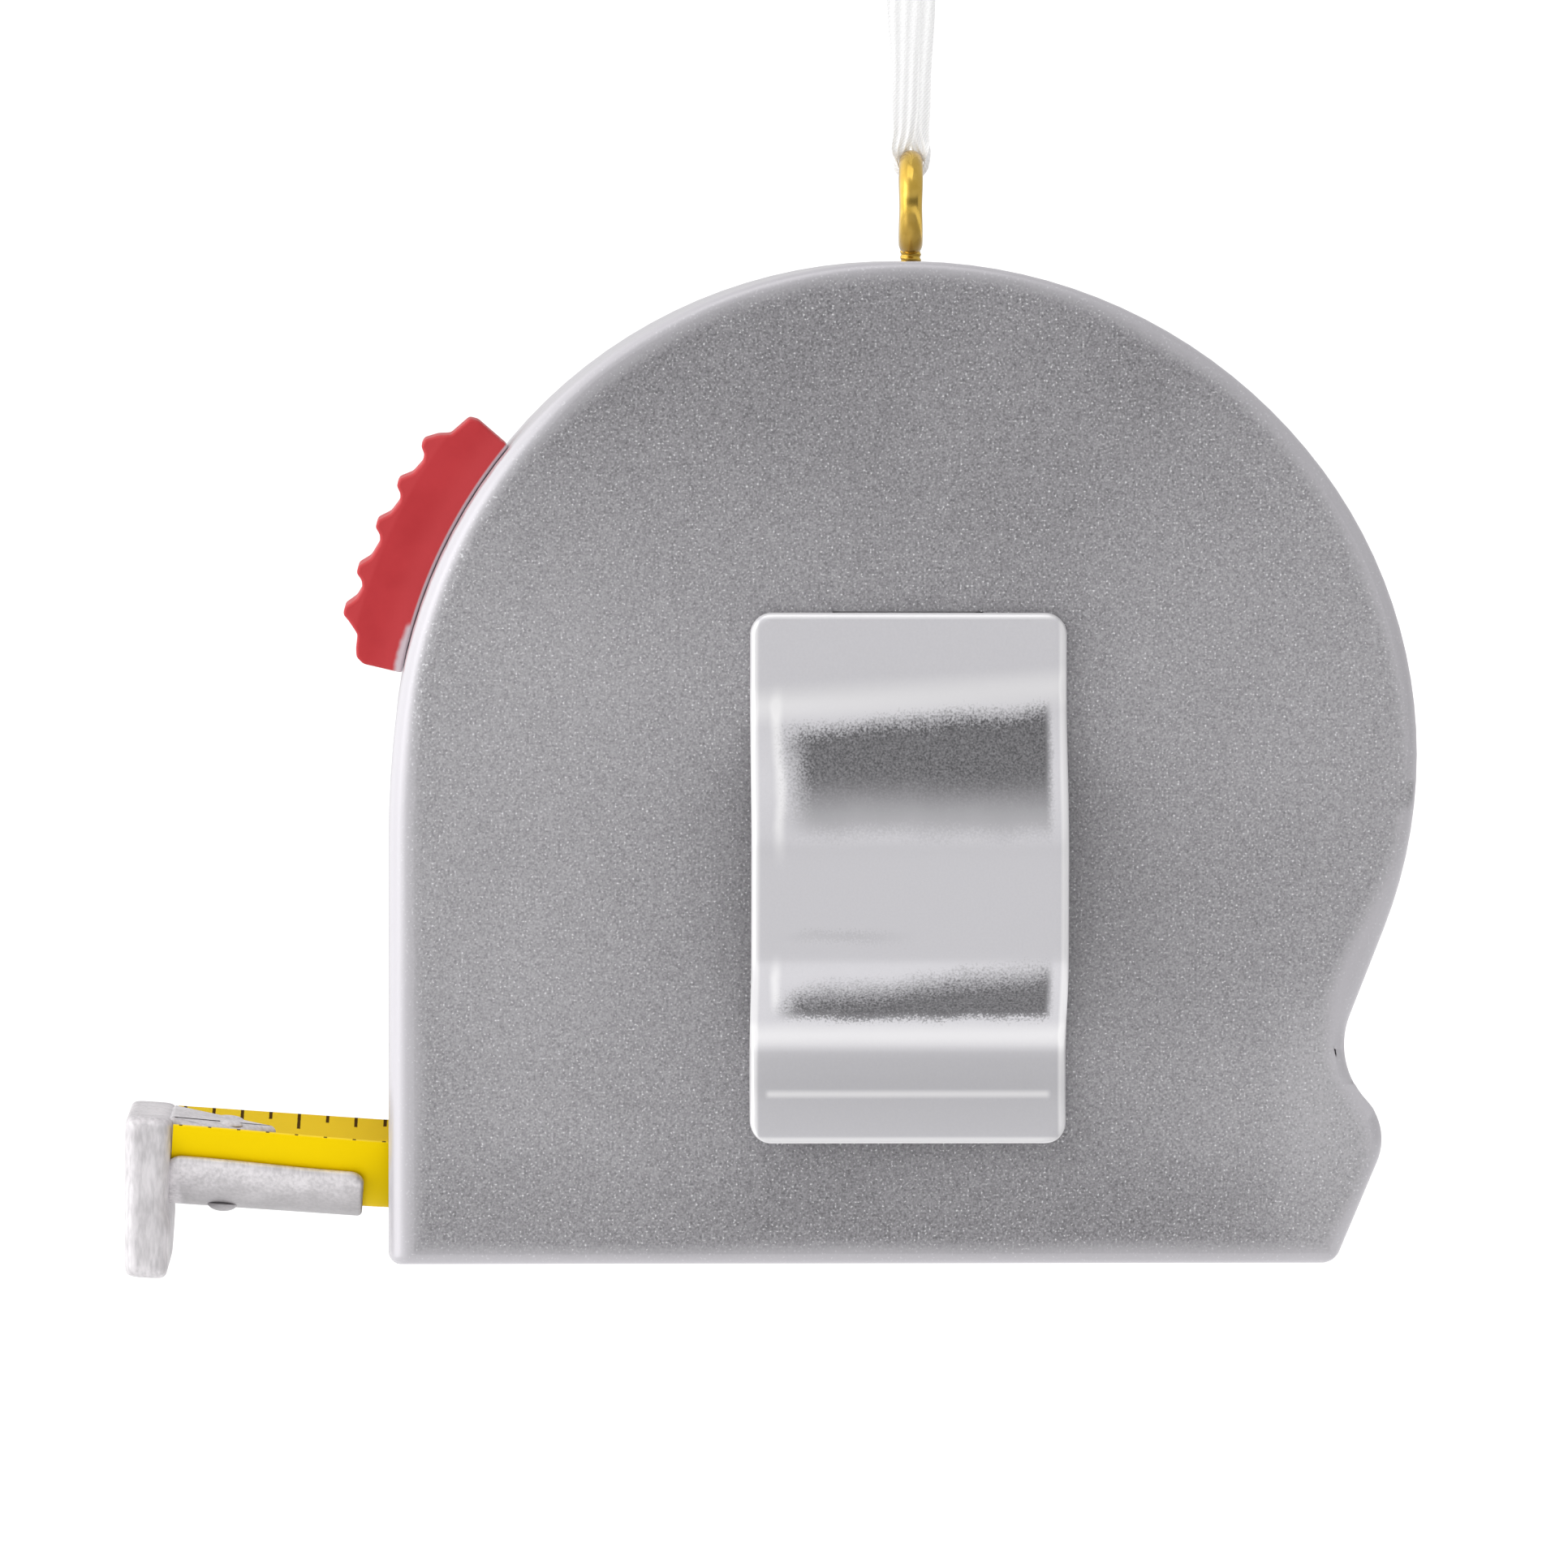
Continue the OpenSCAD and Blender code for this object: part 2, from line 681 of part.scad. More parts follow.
module tube(route) {
    last = len(route) - 1;
    rings = [for (i = [0:last]) each
             ribbon_ring(route[i], unit(route[min(last, i + 1)] - route[max(0, i - 1)]))];
    sides = [for (i = [0:last - 1], k = [0:7])
             [i * 8 + k, i * 8 + (k + 1) % 8, i * 8 + 8 + (k + 1) % 8, i * 8 + 8 + k]];
    polyhedron(points = rings, faces = concat(sides, [[for (k = [7:-1:0]) k]],
                                              [[for (k = [0:7]) last * 8 + k]]), convexity = 6);
}

module ribbon() {
    other = [for (p = reverse(strand)) [-p[0], -p[1], p[2]]];
    color(white) tube(concat(strand, other));
}

module ribbon_knot() {
    color(white) translate([0, 0, knot_z]) sphere(r = knot_r);
}

case_front();
case_rear();
case_screws();
screw_eye();
belt_clip();
rear_badge();
mouth_bumper();
blade_guide();
arbor();
arbor_screw();
reel_drum();
reel_cover();
reel_washers();
power_spring();
blade_coil();
blade();
end_hook();
hook_rivets();
lock_button();
lock_slide();
lock_spring();
brake_lever();
brake_pin();
brake_pad();
ribbon();
ribbon_knot();
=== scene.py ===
# A pocket tape measure that hangs from a sheer ribbon by a gold screw eye.
# X runs from the end hook (-X) to the back of the case, Y from the belt clip side (-Y) to the
# badge side, Z up, in metres.  Shapes are worked out in millimetres from the arbor's centre.
import math

import bmesh
import bpy
import numpy as np
from mathutils import Matrix, Vector


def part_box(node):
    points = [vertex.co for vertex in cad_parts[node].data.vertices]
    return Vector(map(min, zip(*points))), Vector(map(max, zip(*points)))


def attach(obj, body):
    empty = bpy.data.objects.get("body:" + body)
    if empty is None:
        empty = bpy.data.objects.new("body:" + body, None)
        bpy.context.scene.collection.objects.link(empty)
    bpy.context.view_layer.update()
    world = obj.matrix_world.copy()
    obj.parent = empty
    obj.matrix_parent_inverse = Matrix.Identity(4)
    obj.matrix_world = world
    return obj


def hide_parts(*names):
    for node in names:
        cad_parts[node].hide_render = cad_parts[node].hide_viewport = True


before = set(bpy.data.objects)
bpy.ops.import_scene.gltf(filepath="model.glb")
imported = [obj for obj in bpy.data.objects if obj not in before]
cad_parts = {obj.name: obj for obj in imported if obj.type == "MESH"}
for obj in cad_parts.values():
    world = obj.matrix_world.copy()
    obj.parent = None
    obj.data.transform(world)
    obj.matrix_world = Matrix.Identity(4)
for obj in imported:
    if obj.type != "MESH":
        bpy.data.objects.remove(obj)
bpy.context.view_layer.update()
scene = bpy.context.scene

# ---- Camera: a long lens, level with the case and a little to the hook's side, looking slightly
# down.
yaw, pitch, roll = math.radians(1.93), math.radians(2.93), math.radians(0.1)
camera_at = (-0.02932, -0.63618, -0.02784)
ahead = Vector((math.sin(yaw) * math.cos(pitch), math.cos(yaw) * math.cos(pitch), -math.sin(pitch)))
level = ahead.cross(Vector((0, 0, 1))).normalized()
upright = level.cross(ahead)
right = math.cos(roll) * level + math.sin(roll) * upright
above = math.cos(roll) * upright - math.sin(roll) * level
camera = bpy.data.objects.new("camera", bpy.data.cameras.new("camera"))
camera.data.lens = 232.9
camera.data.sensor_width = 36
camera.data.clip_start, camera.data.clip_end = 0.05, 60
camera.matrix_world = Matrix.Translation(camera_at) @ Matrix(
    (right, above, -ahead)).transposed().to_4x4()
scene.collection.objects.link(camera)
scene.camera = camera
scene.view_settings.view_transform = "Standard"


# ---- Light: a white room, brightest on the hook's side and dim behind the camera, two soft
# boxes, and a pale floor well under the hanging tape measure.
class Sock:
    """One output of a node.  Sums on it add Math nodes, whichever side the number is on."""

    def __init__(self, paint, socket):
        self.paint, self.socket = paint, socket

    def do(self, operation, *others):
        """A Math node on this output and any others."""
        return self.paint.node("Math", {"operation": operation},
                               dict(enumerate([self, *others])))

    def __add__(self, other): return self.do("ADD", other)
    __radd__ = __add__
    def __mul__(self, other): return self.do("MULTIPLY", other)
    __rmul__ = __mul__
    def __sub__(self, other): return self.do("SUBTRACT", other)
    def __rsub__(self, other): return self.paint.node(
        "Math", {"operation": "SUBTRACT"}, {0: other, 1: self})


class Paint:
    """A node tree that is being wired: a material's, or the room's."""

    def __init__(self, name, holder=None):
        self.holder = holder or bpy.data.materials.new(name)
        self.holder.use_nodes = True
        self.tree = self.holder.node_tree
        self.tree.nodes.clear()

    def node(self, kind, settings=None, inputs=None, output=0):
        """Adds a node, sets it up, then gives its sockets values or links.  A ramp's stops are
        (place, colour) pairs."""
        new = self.tree.nodes.new("ShaderNode" + kind)
        for key, value in (settings or {}).items():
            if key == "stops":
                ramp = new.color_ramp
                while len(ramp.elements) < len(value):
                    ramp.elements.new(0.5)
                for element, (place, colour) in zip(ramp.elements, value):
                    element.position = place
                    element.color = (*colour, 1)
            else:
                setattr(new, key, value)
        for key, value in (inputs or {}).items():
            socket = new.inputs[key]
            if isinstance(value, Sock):
                self.tree.links.new(value.socket, socket)
            elif socket.type == "RGBA" and len(value) == 3:
                socket.default_value = (*value, 1)
            else:
                socket.default_value = value
        return Sock(self, new.outputs[output])

    def ease(self, value, low, high, to_low=0.0, to_high=1.0):
        """The value carried smoothly from one range to another, and held at its ends."""
        return self.node("MapRange", {"interpolation_type": "SMOOTHSTEP"}, {
            "Value": value, "From Min": low, "From Max": high,
            "To Min": to_low, "To Max": to_high})

    def mix(self, factor, one, two):
        """A colour between two colours."""
        return self.node("Mix", {"data_type": "RGBA"}, {0: factor, 6: one, 7: two}, 2)

    def split(self, vector):
        """The three numbers of a vector."""
        apart = self.node("SeparateXYZ", {}, {0: vector}).socket.node
        return [Sock(self, output) for output in apart.outputs]

    def spot(self):
        """The place on the piece, in metres."""
        return self.node("TexCoord", output=3)

    def noise(self, spot, scale, detail=2.0, rough=0.5):
        """Soft random lumps, about `scale` of them to a metre, each broken up `detail` times."""
        return self.node("TexNoise", {}, {"Vector": spot, "Scale": scale, "Detail": detail,
                                          "Roughness": rough})

    def coat(self, colour, rough, relief, strength, depth, others=None):
        """A finished surface: a colour, a roughness, a fine relief of that depth in metres, and
        any other sockets."""
        bump = self.node("Bump", {}, {"Height": relief, "Strength": strength, "Distance": depth})
        return self.finish(self.node("BsdfPrincipled", {}, {
            "Base Color": colour, "Roughness": rough, "Normal": bump, **(others or {})}))

    def finish(self, surface):
        """Wires the surface to the output, and returns the material or the world."""
        kind = "World" if isinstance(self.holder, bpy.types.World) else "Material"
        output = self.tree.nodes.new("ShaderNodeOutput" + kind)
        self.tree.links.new(surface.socket, output.inputs["Surface"])
        return self.holder


def grey(v):
    """A neutral colour of one brightness."""
    return v, v, v


# The wall in front of the tape measure by height, from straight down to straight up, with a
# dark band level with it, and what the hook's side and the far side are multiplied by.
wall_bands = [(0.0, 0.85), (0.40, 0.95), (0.465, 0.35), (0.535, 0.35), (0.60, 1.0), (1.0, 1.15)]
hook_side_gain, far_side_gain = 2.2, 0.84
room_glow, backdrop_extra = 0.8, 0.35
room = Paint("room", bpy.data.worlds.new("room"))
across, depth, height = room.split(room.node("TexCoord"))
front = room.node("ValToRGB", {"stops": [(place, grey(value)) for place, value in wall_bands]},
                  {0: height * 0.5 + 0.5})
lit = room.mix(room.ease(depth, -0.45, -0.1), front, grey(1.0))
side = room.ease(across, -0.99, -0.1, hook_side_gain, far_side_gain)
lit = room.node("VectorMath", {"operation": "SCALE"}, {0: lit, "Scale": side})
backdrop = room.node("LightPath")
glow = room.mix(backdrop, lit, grey(1.0))
scene.world = room.finish(room.node("Background", {}, {
    0: glow, 1: room_glow + backdrop * backdrop_extra}))


def soft_box(name, at, size, power):
    """A rectangular lamp that faces the middle of the case."""
    lamp = bpy.data.lights.new(name, "AREA")
    lamp.shape, lamp.size, lamp.size_y = "RECTANGLE", *size
    lamp.energy = power
    box = bpy.data.objects.new(name, lamp)
    box.location = at
    box.rotation_euler = (Vector((0, 0, -0.06)) - Vector(at)).to_track_quat("-Z", "Y").to_euler()
    scene.collection.objects.link(box)


soft_box("box_left", at=(-0.75, -0.35, 0.12), size=(0.5, 0.7), power=1.6)
soft_box("box_over", at=(-0.1, -0.25, 0.75), size=(0.7, 0.5), power=1.1)

floor_z, floor_half, floor_glow = -1.5, 9.0, 0.25
chalk = Paint("pale_floor")
floor_mesh = bpy.data.meshes.new("floor")
floor_mesh.from_pydata([(-floor_half, -floor_half, floor_z), (floor_half, -floor_half, floor_z),
                        (floor_half, floor_half, floor_z), (-floor_half, floor_half, floor_z)],
                       [], [(0, 1, 2, 3)])
floor_mesh.materials.append(chalk.finish(chalk.node("BsdfPrincipled", {}, {
    "Base Color": chalk.mix(chalk.noise(chalk.spot(), 40.0), grey(0.93), grey(0.97)),
    "Roughness": 0.9, "Specular IOR Level": 0.1,
    "Emission Color": grey(1), "Emission Strength": floor_glow})))
floor = bpy.data.objects.new("floor", floor_mesh)
scene.collection.objects.link(floor)

# ---- Ribbon: one length of sheer white organza, about 2.5 mm wide where it is gathered, which
# passes under the top of the eye's wire and whose two strands rise to a knot.  Each strand
# turns from lying along the wire to facing the front as it rises.
STRAND = np.array([
    [0.03, 0, -22.36], [-0.35, 0, -22.3], [-0.68, 0, -22.08], [-0.92, 0, -21.7],
    [-0.97, 0, -21.3], [-0.86, -0.05, -20.85], [-0.66, -0.15, -20.4], [-0.5, -0.28, -19.8],
    [-0.42, -0.42, -19], [-0.4, -0.6, -17], [-0.42, -0.75, -15], [-0.48, -0.85, -12.5],
    [-0.5, -0.9, -10], [-0.7, -0.9, -7.5], [-1.1, -0.8, -5], [-1.5, -0.5, -2.5],
    [-1.7, -0.2, 0], [-1.3, 0, 2], [-0.5, 0, 3.2]])
ROUTE = np.vstack([STRAND[::-1], STRAND[1:] * [-1, -1, 1]])
MM = 0.001
CREASE = math.radians(40)
ribbon_t = 0.10


def skin(name, rings, loop=False, at=(0, 0, 0), layers=None):
    """A mesh over rings of points, shape (rings, points, 3), in millimetres from `at`.  Each ring
    joins the next and wraps round, and each end is closed with one face, unless the last ring
    joins the first.  Layers are numbers for each point, kept as attributes; the layer "uv" has
    two for each point and becomes the UV map."""
    m, n = rings.shape[:2]
    down, round_ = np.arange(m if loop else m - 1), np.arange(n)
    a = down[:, None] * n + round_
    b = down[:, None] * n + (round_ + 1) % n
    c = ((down + 1) % m)[:, None] * n + (round_ + 1) % n
    d = ((down + 1) % m)[:, None] * n + round_
    faces = np.stack([a, b, c, d], -1).reshape(-1, 4).tolist()
    if not loop:
        faces += [list(range(n))[::-1], list(range((m - 1) * n, m * n))]
    mesh = bpy.data.meshes.new(name)
    mesh.from_pydata((rings.reshape(-1, 3) + np.array(at)) * MM, [], faces)
    for key, values in (layers or {}).items():
        if key == "uv":
            corner = np.zeros(len(mesh.loops), np.int32)
            mesh.loops.foreach_get("vertex_index", corner)
            mesh.uv_layers.new(name="uv").data.foreach_set(
                "uv", values.reshape(-1, 2)[corner].astype(np.float32).ravel())
        else:
            layer = mesh.attributes.new(key, "FLOAT", "POINT")
            layer.data.foreach_set("value", values.astype(np.float32).ravel())
    outward(mesh)
    return mesh


def outward(mesh):
    """Turns a closed mesh's faces outwards, and shades it smooth but for its sharp edges."""
    work = bmesh.new()
    work.from_mesh(mesh)
    bmesh.ops.recalc_face_normals(work, faces=work.faces)
    work.to_mesh(mesh)
    work.free()
    shaded(mesh)


def shaded(mesh):
    """Smooth shading, but for the flat faces that close an end and the edges past the crease."""
    mesh.set_sharp_from_angle(angle=CREASE)
    corners = np.zeros(len(mesh.polygons), np.int32)
    mesh.polygons.foreach_get("loop_total", corners)
    mesh.polygons.foreach_set("use_smooth", corners < 5)


def joined(name, meshes):
    """Several closed meshes as one."""
    work = bmesh.new()
    for mesh in meshes:
        work.from_mesh(mesh)
        bpy.data.meshes.remove(mesh)
    mesh = bpy.data.meshes.new(name)
    work.to_mesh(mesh)
    work.free()
    shaded(mesh)
    return mesh


def piece(name, mesh, paint, body, slot, *nodes):
    """Puts a finished mesh in the scene with its paint, body and the nodes it replaces.  The slot
    is not used.
    """
    mesh.materials.clear()
    mesh.materials.append(paint)
    new = bpy.data.objects.new(name, mesh)
    scene.collection.objects.link(new)
    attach(new, body)
    if nodes:
        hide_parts(*nodes)
    return new


def distance_along(points):
    """How far each point is along a line of points."""
    return np.r_[0, np.cumsum(np.linalg.norm(np.diff(points, axis=0), axis=1))]


def evenly(points, count, endpoint=True):
    """Points spaced evenly along a line of points."""
    far = distance_along(points)
    even = np.linspace(0, far[-1], count, endpoint=endpoint)
    return np.stack([np.interp(even, far, points[:, k]) for k in range(points.shape[1])], -1)


def smooth_path(points, count):
    """Points spaced evenly along a Catmull-Rom curve through the given ones."""
    p = np.vstack([2 * points[0] - points[1], points, 2 * points[-1] - points[-2]])
    t = np.linspace(0, 1, 12, endpoint=False)[None, :, None]
    a, b, c, d = [p[i:len(p) - 3 + i, None] for i in range(4)]
    curve = 0.5 * (2 * b + (c - a) * t + (2 * a - 5 * b + 4 * c - d) * t**2
                   + (3 * b - a - 3 * c + d) * t**3)
    return evenly(np.vstack([curve.reshape(-1, points.shape[1]), points[-1]]), count)


def unit(v):
    """Each vector divided by its own length."""
    return v / np.linalg.norm(v, axis=-1, keepdims=True)


def ease(x, low, high):
    """0 up to low, 1 from high, and 3t^2 - 2t^3 between them."""
    t = np.clip((x - low) / (high - low), 0, 1)
    return t * t * (3 - 2 * t)


def ribbon_strip(line, half_width, turn, folds):
    """A flat strip carried along a line.  Its width lies along Y turned by `turn` about the
    line; across it, gathers are two cosines, `folds` deep, which drift along the strip."""
    ahead_ = unit(np.gradient(line, axis=0))
    wide0 = unit(np.array([0, 1, 0]) - ahead_ * ahead_[:, 1:2])
    flat0 = np.cross(ahead_, wide0)
    cos, sin = np.cos(turn)[:, None], np.sin(turn)[:, None]
    wide, flat = wide0 * cos + flat0 * sin, flat0 * cos - wide0 * sin
    spin = np.linspace(0, 2 * np.pi, 72, endpoint=False)
    v, lift = np.cos(spin), np.sin(spin)
    far = distance_along(line)
    wave = folds[:, None] * (np.cos(3.1 * np.pi * v + 0.35 * far[:, None])
                             + 0.4 * np.cos(7.3 * v + 1.1 - 0.2 * far[:, None]))
    rings = (line[:, None] + wide[:, None] * (half_width[:, None] * v)[..., None]
             + flat[:, None] * (wave + ribbon_t / 2 * lift)[..., None])
    uv = np.stack([np.broadcast_to(far[:, None], wave.shape),
                   np.broadcast_to(v * 0.5 + 0.5, wave.shape)], -1)
    return rings, uv


# The weave is three sets of threads: on the slant, across and along, with a denser selvedge.
slant_n, cross_n, ladder_n = 30.0, 150.0, 42.0
organza = Paint("ribbon_white")
along, over, _ = organza.split(organza.node("UVMap", {"uv_map": "uv"}))
slant = ((along * 0.75 + over * 1.6) * slant_n).do("SINE") * 0.5 + 0.5
cross = (over * cross_n).do("SINE") * 0.5 + 0.5
ladder = (along * ladder_n).do("SINE") * 0.5 + 0.5
selvedge = organza.ease((over - 0.5).do("ABSOLUTE"), 0.40, 0.46)
threads = slant * 0.6 + cross * 0.2 + ladder * 0.2
# A faint emission gives the ribbon a painted glow that whitens it.
organza_done = organza.coat(
    organza.mix(threads, grey(0.90), grey(0.97)), 0.55, threads + selvedge * 2.0, 0.35, 0.00003, {
        "Sheen Weight": 0.3, "Specular IOR Level": 0.35,
        "Alpha": 0.62 + threads * 0.2 + selvedge * 0.18,
        "Emission Color": grey(1), "Emission Strength": 0.07})
route = smooth_path(ROUTE, 200)
rise = route[:, 2]
facing = ease(rise, -21.5, -20.1) * (math.pi / 2)
half_width = 0.62 + 0.24 * ease(rise, -20.8, -17.7) + 0.24 * ease(rise, -17.7, -10)
half_width *= 1 - 0.5 * ease(rise, -3, 2.5)
folds = 0.04 + 0.07 * (1 - ease(rise, -21, -18.5)) + 0.10 * ease(rise, -2, 2)
strip, strip_uv = ribbon_strip(route, half_width, facing, folds)
ribbon = piece("ribbon_strands", skin("ribbon_strands", strip, layers={"uv": strip_uv}),
               organza_done, "hanger", "ribbon_white", "ribbon")

# The knot is a plain overhand knot, drawn tight, with two short cut tails above it.
knot_z, knot_size, knot_thick, knot_wide, pucker_deep = 3.0, 0.44, 0.50, 0.72, 0.07
turn_ = np.linspace(0, 2 * np.pi, 160, endpoint=False)
knot_line = knot_size * np.stack([
    np.sin(turn_) + 2 * np.sin(2 * turn_), -1.15 * np.sin(3 * turn_),
    np.cos(turn_) - 2 * np.cos(2 * turn_)], -1) + [0, 0, knot_z]
knot_ahead = unit(np.roll(knot_line, -1, 0) - np.roll(knot_line, 1, 0))
knot_out = knot_line - [0, 0, knot_z]
knot_out = unit(knot_out - knot_ahead * np.sum(knot_out * knot_ahead, 1, keepdims=True))
knot_side = np.cross(knot_ahead, knot_out)
spin = np.linspace(0, 2 * np.pi, 40, endpoint=False)
pucker = 1 + pucker_deep * np.cos(5 * spin)[None] * np.cos(9 * turn_)[:, None]
knot_rings = (knot_line[:, None]
              + knot_out[:, None] * (knot_thick * pucker * np.cos(spin))[..., None]
              + knot_side[:, None] * (knot_wide * pucker * np.sin(spin))[..., None])
knot_uv = np.stack(np.broadcast_arrays(turn_[:, None] * 3, spin / (2 * np.pi)), -1)
tails = []
for way in (-1, 1):
    tail = smooth_path(np.array([[0.3 * way, 0, 3.2], [0.9 * way, -0.2 * way, 4.6],
                                 [1.7 * way, -0.5 * way, 6.2], [2.9 * way, -0.4 * way, 7.6]]), 40)
    u = np.linspace(0, 1, 40)
    rings, uv = ribbon_strip(tail, 0.45 + 0.85 * ease(u, 0, 0.7), u * 0.9 * way + 1.2,
                             0.12 - 0.08 * u)
    tails.append(skin("tail", rings, layers={"uv": uv}))
knot = piece("ribbon_knot_tied",
             joined("ribbon_knot_tied", [skin("knot", knot_rings, loop=True,
                                              layers={"uv": knot_uv}), *tails]),
             organza_done, "hanger", "ribbon_white", "ribbon_knot")

# ---- Screw eye: brass wire bent round to a ring and cut with a fine thread, gold plated and
# bright, screwed into the top of the case.  Its ring stands nearly edge-on to the front.
low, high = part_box("screw_eye")
wire_r, ring_r, neck_r, wear_deep = 0.75, 2.55, 0.67, 0.07
thread_pitch, thread_deep, thread_top = 0.36, 0.08, 26.5
eye_turn = math.radians(-2.2)
ring_z = high.z / MM - wire_r - ring_r
round_, turn_ = np.meshgrid(np.linspace(0, 2 * np.pi, 120, endpoint=False),
                            np.linspace(0, 2 * np.pi, 48, endpoint=False), indexing="ij")
worn = wire_r * (1 - wear_deep * np.exp(-((np.sin(round_) + 0.1) / 0.45)**2))
ring = np.stack([worn * np.sin(turn_), (ring_r + worn * np.cos(turn_)) * np.cos(round_),
                 ring_z + (ring_r + worn * np.cos(turn_)) * np.sin(round_)], -1)
ring = ring @ np.array([[math.cos(eye_turn), math.sin(eye_turn), 0],
                        [-math.sin(eye_turn), math.cos(eye_turn), 0], [0, 0, 1]])
z, turn_ = np.meshgrid(np.linspace(ring_z - ring_r + 0.1, low.z / MM, 260),
                       np.linspace(0, 2 * np.pi, 40, endpoint=False), indexing="ij")
ridge = np.abs((z / thread_pitch + turn_ / (2 * np.pi)) % 1 * 2 - 1)
shank = neck_r - ease(-z, thread_top, thread_top + 0.3) * thread_deep * ridge
thread = np.stack([shank * np.cos(turn_), shank * np.sin(turn_), z], -1)
gold = Paint("gold_plate")
tarnish = gold.noise(gold.spot(), 900.0, 3.0)
gold_done = gold.coat(
    gold.mix(gold.ease(tarnish, 0.35, 0.7), (0.70, 0.47, 0.10), (0.60, 0.39, 0.07)),
    gold.ease(tarnish, 0.3, 0.75, 0.14, 0.26), tarnish, 0.15, 0.00003, {"Metallic": 1.0})
piece("screw_eye_wire", joined("screw_eye_wire", [skin("ring", ring, loop=True),
                                                  skin("thread", thread)]),
      gold_done, "case", "gold_plate", "screw_eye")

# ---- Case: two moulded shells that meet on the middle plane and are screwed together from the
# rear.  Each face is sprayed with a sparkling silver lacquer that thins out towards the smooth
# rounded rim, which is widest down the straight side of the mouth.  The rim's lighter silver is
# partly a painted highlight.
low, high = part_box("arbor")
ARBOR = np.array([(low.x + high.x) / 2, 0, (low.z + high.z) / 2]) / MM
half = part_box("case_rear")[1].y
crown = np.array([0.35, -1.3])
dark_lacquer, light_lacquer = (0.115, 0.111, 0.121), (0.47, 0.46, 0.48)
# The rim's silver is partly its smooth finish and partly a painted highlight on its rounding.
rim_silver_and_sheen, spark_white = (0.58, 0.563, 0.595), (0.85, 0.85, 0.87)
lacquer = Paint("case_paint")
spot = lacquer.spot()
px, py, pz = lacquer.split(spot)
speck = lacquer.noise(spot, 6200.0, 2.0, 0.7)
flake = lacquer.noise(spot, 7200.0, 0.0)
cloud = lacquer.noise(spot, 60.0)
on_face = lacquer.ease(py.do("ABSOLUTE"), half - 0.00055, half - 0.00002)
# How far in from the case's outline a place is: the crown, the mouth's side, the foot, and the
# back with its hollow and its heel.
ax, az = px - (ARBOR[0] + crown[0]) * MM, pz - (ARBOR[2] + crown[1]) * MM
reach = ((ax * ax) + (az * az)).do("SQRT")
back_x = (lacquer.ease(pz, -0.0745, -0.062, 0.0262, 0.0306)
          + 0.0026 * (1 - lacquer.ease(pz, -0.082, -0.0765))
          - 0.0027 * (1 - lacquer.ease(pz, -0.0895, -0.0825))
          + 0.01 * lacquer.ease(pz, -0.062, -0.056))
rim_gap = (0.0317 - reach).do("MAXIMUM", 0 - az * 3.0)
rim_gap = rim_gap.do("MINIMUM", px + 0.0318).do("MINIMUM", pz + 0.0894)
rim_gap = rim_gap.do("MINIMUM", back_x - px) + (cloud - 0.5) * 0.0015
grain = on_face * (0.3 + 0.7 * lacquer.ease(rim_gap, 0.0002, 0.0016))
# The lacquer is lighter at both flanks and on the heel, and darker at the top and at the foot.
flank = lacquer.ease(px.do("ABSOLUTE"), 0.010, 0.026)
top_dark = lacquer.ease(pz, -0.050, -0.034)
low_dark = 1 - lacquer.ease(pz, -0.087, -0.080)
heel = lacquer.ease(px, 0.020, 0.025) * (1 - lacquer.ease(pz, -0.078, -0.070))
tone = (speck - 0.5) * 1.30 + (flake - 0.5) * 0.6
shade = (0.60 + flank * 0.10 - top_dark * 0.16 - low_dark * 0.14 + heel * 0.2
         + (cloud - 0.5) * 0.42 + grain * tone).do("MAXIMUM", 0.0).do("MINIMUM", 1.0)
base = lacquer.mix(shade, dark_lacquer, light_lacquer)
# Off the sprayed face the colour goes to the rim's silver with its painted highlight.
base = lacquer.mix(1 - grain, base, rim_silver_and_sheen)
base = lacquer.mix(grain * lacquer.ease(flake, 0.70, 0.78) * 0.7, base, spark_white)
lacquer_done = lacquer.coat(base, 0.28 + grain * 0.25, grain * (speck + flake * 0.4), 0.35,
                            0.00004, {"Metallic": 0.30})
# The rim's full radius, and the shares of it at the crown, at the sharp corners of the foot and
# along the parting line.
rim_r, crown_share, corner_share, parting_share = 0.0016, 0.42, 0.45, 0.06


def rim_share(edge):
    """The share of the rim's radius that an edge takes.  On the outer face's edge it grows from
    the crown's share to 1 down the mouth's side, and the parting line has its own share."""
    if len(edge.link_faces) != 2:
        return 0
    one, two = edge.link_faces
    if abs(one.normal.y) < abs(two.normal.y):
        one, two = two, one
    y = [abs(v.co.y) for v in edge.verts]
    middle = (edge.verts[0].co + edge.verts[1].co) / 2
    outer = two.normal.dot(middle - Vector(ARBOR * MM)) > 0.015
    wall = min(abs(v.co.y) for v in two.verts) < 0.008
    if abs(one.normal.y) > 0.9 and abs(two.normal.y) < 0.3 and outer and wall:
        if min(y) > half - 1e-5:
            mouth_side = ease(np.array(-middle.x), 0.020, 0.0315)
            off_foot = 1 - ease(np.array(-middle.z), 0.0885, 0.0896)
            return crown_share + (1 - crown_share) * float(mouth_side * off_foot)
        if max(y) < 1e-5:
            return parting_share
    elif abs(one.normal.y) < 0.1 and abs(two.normal.y) < 0.1 and max(y) > half - 1e-5:
        if middle.z < ARBOR[2] * MM - 0.0314 and one.normal.angle(two.normal) > 1.0:
            return corner_share
    return 0


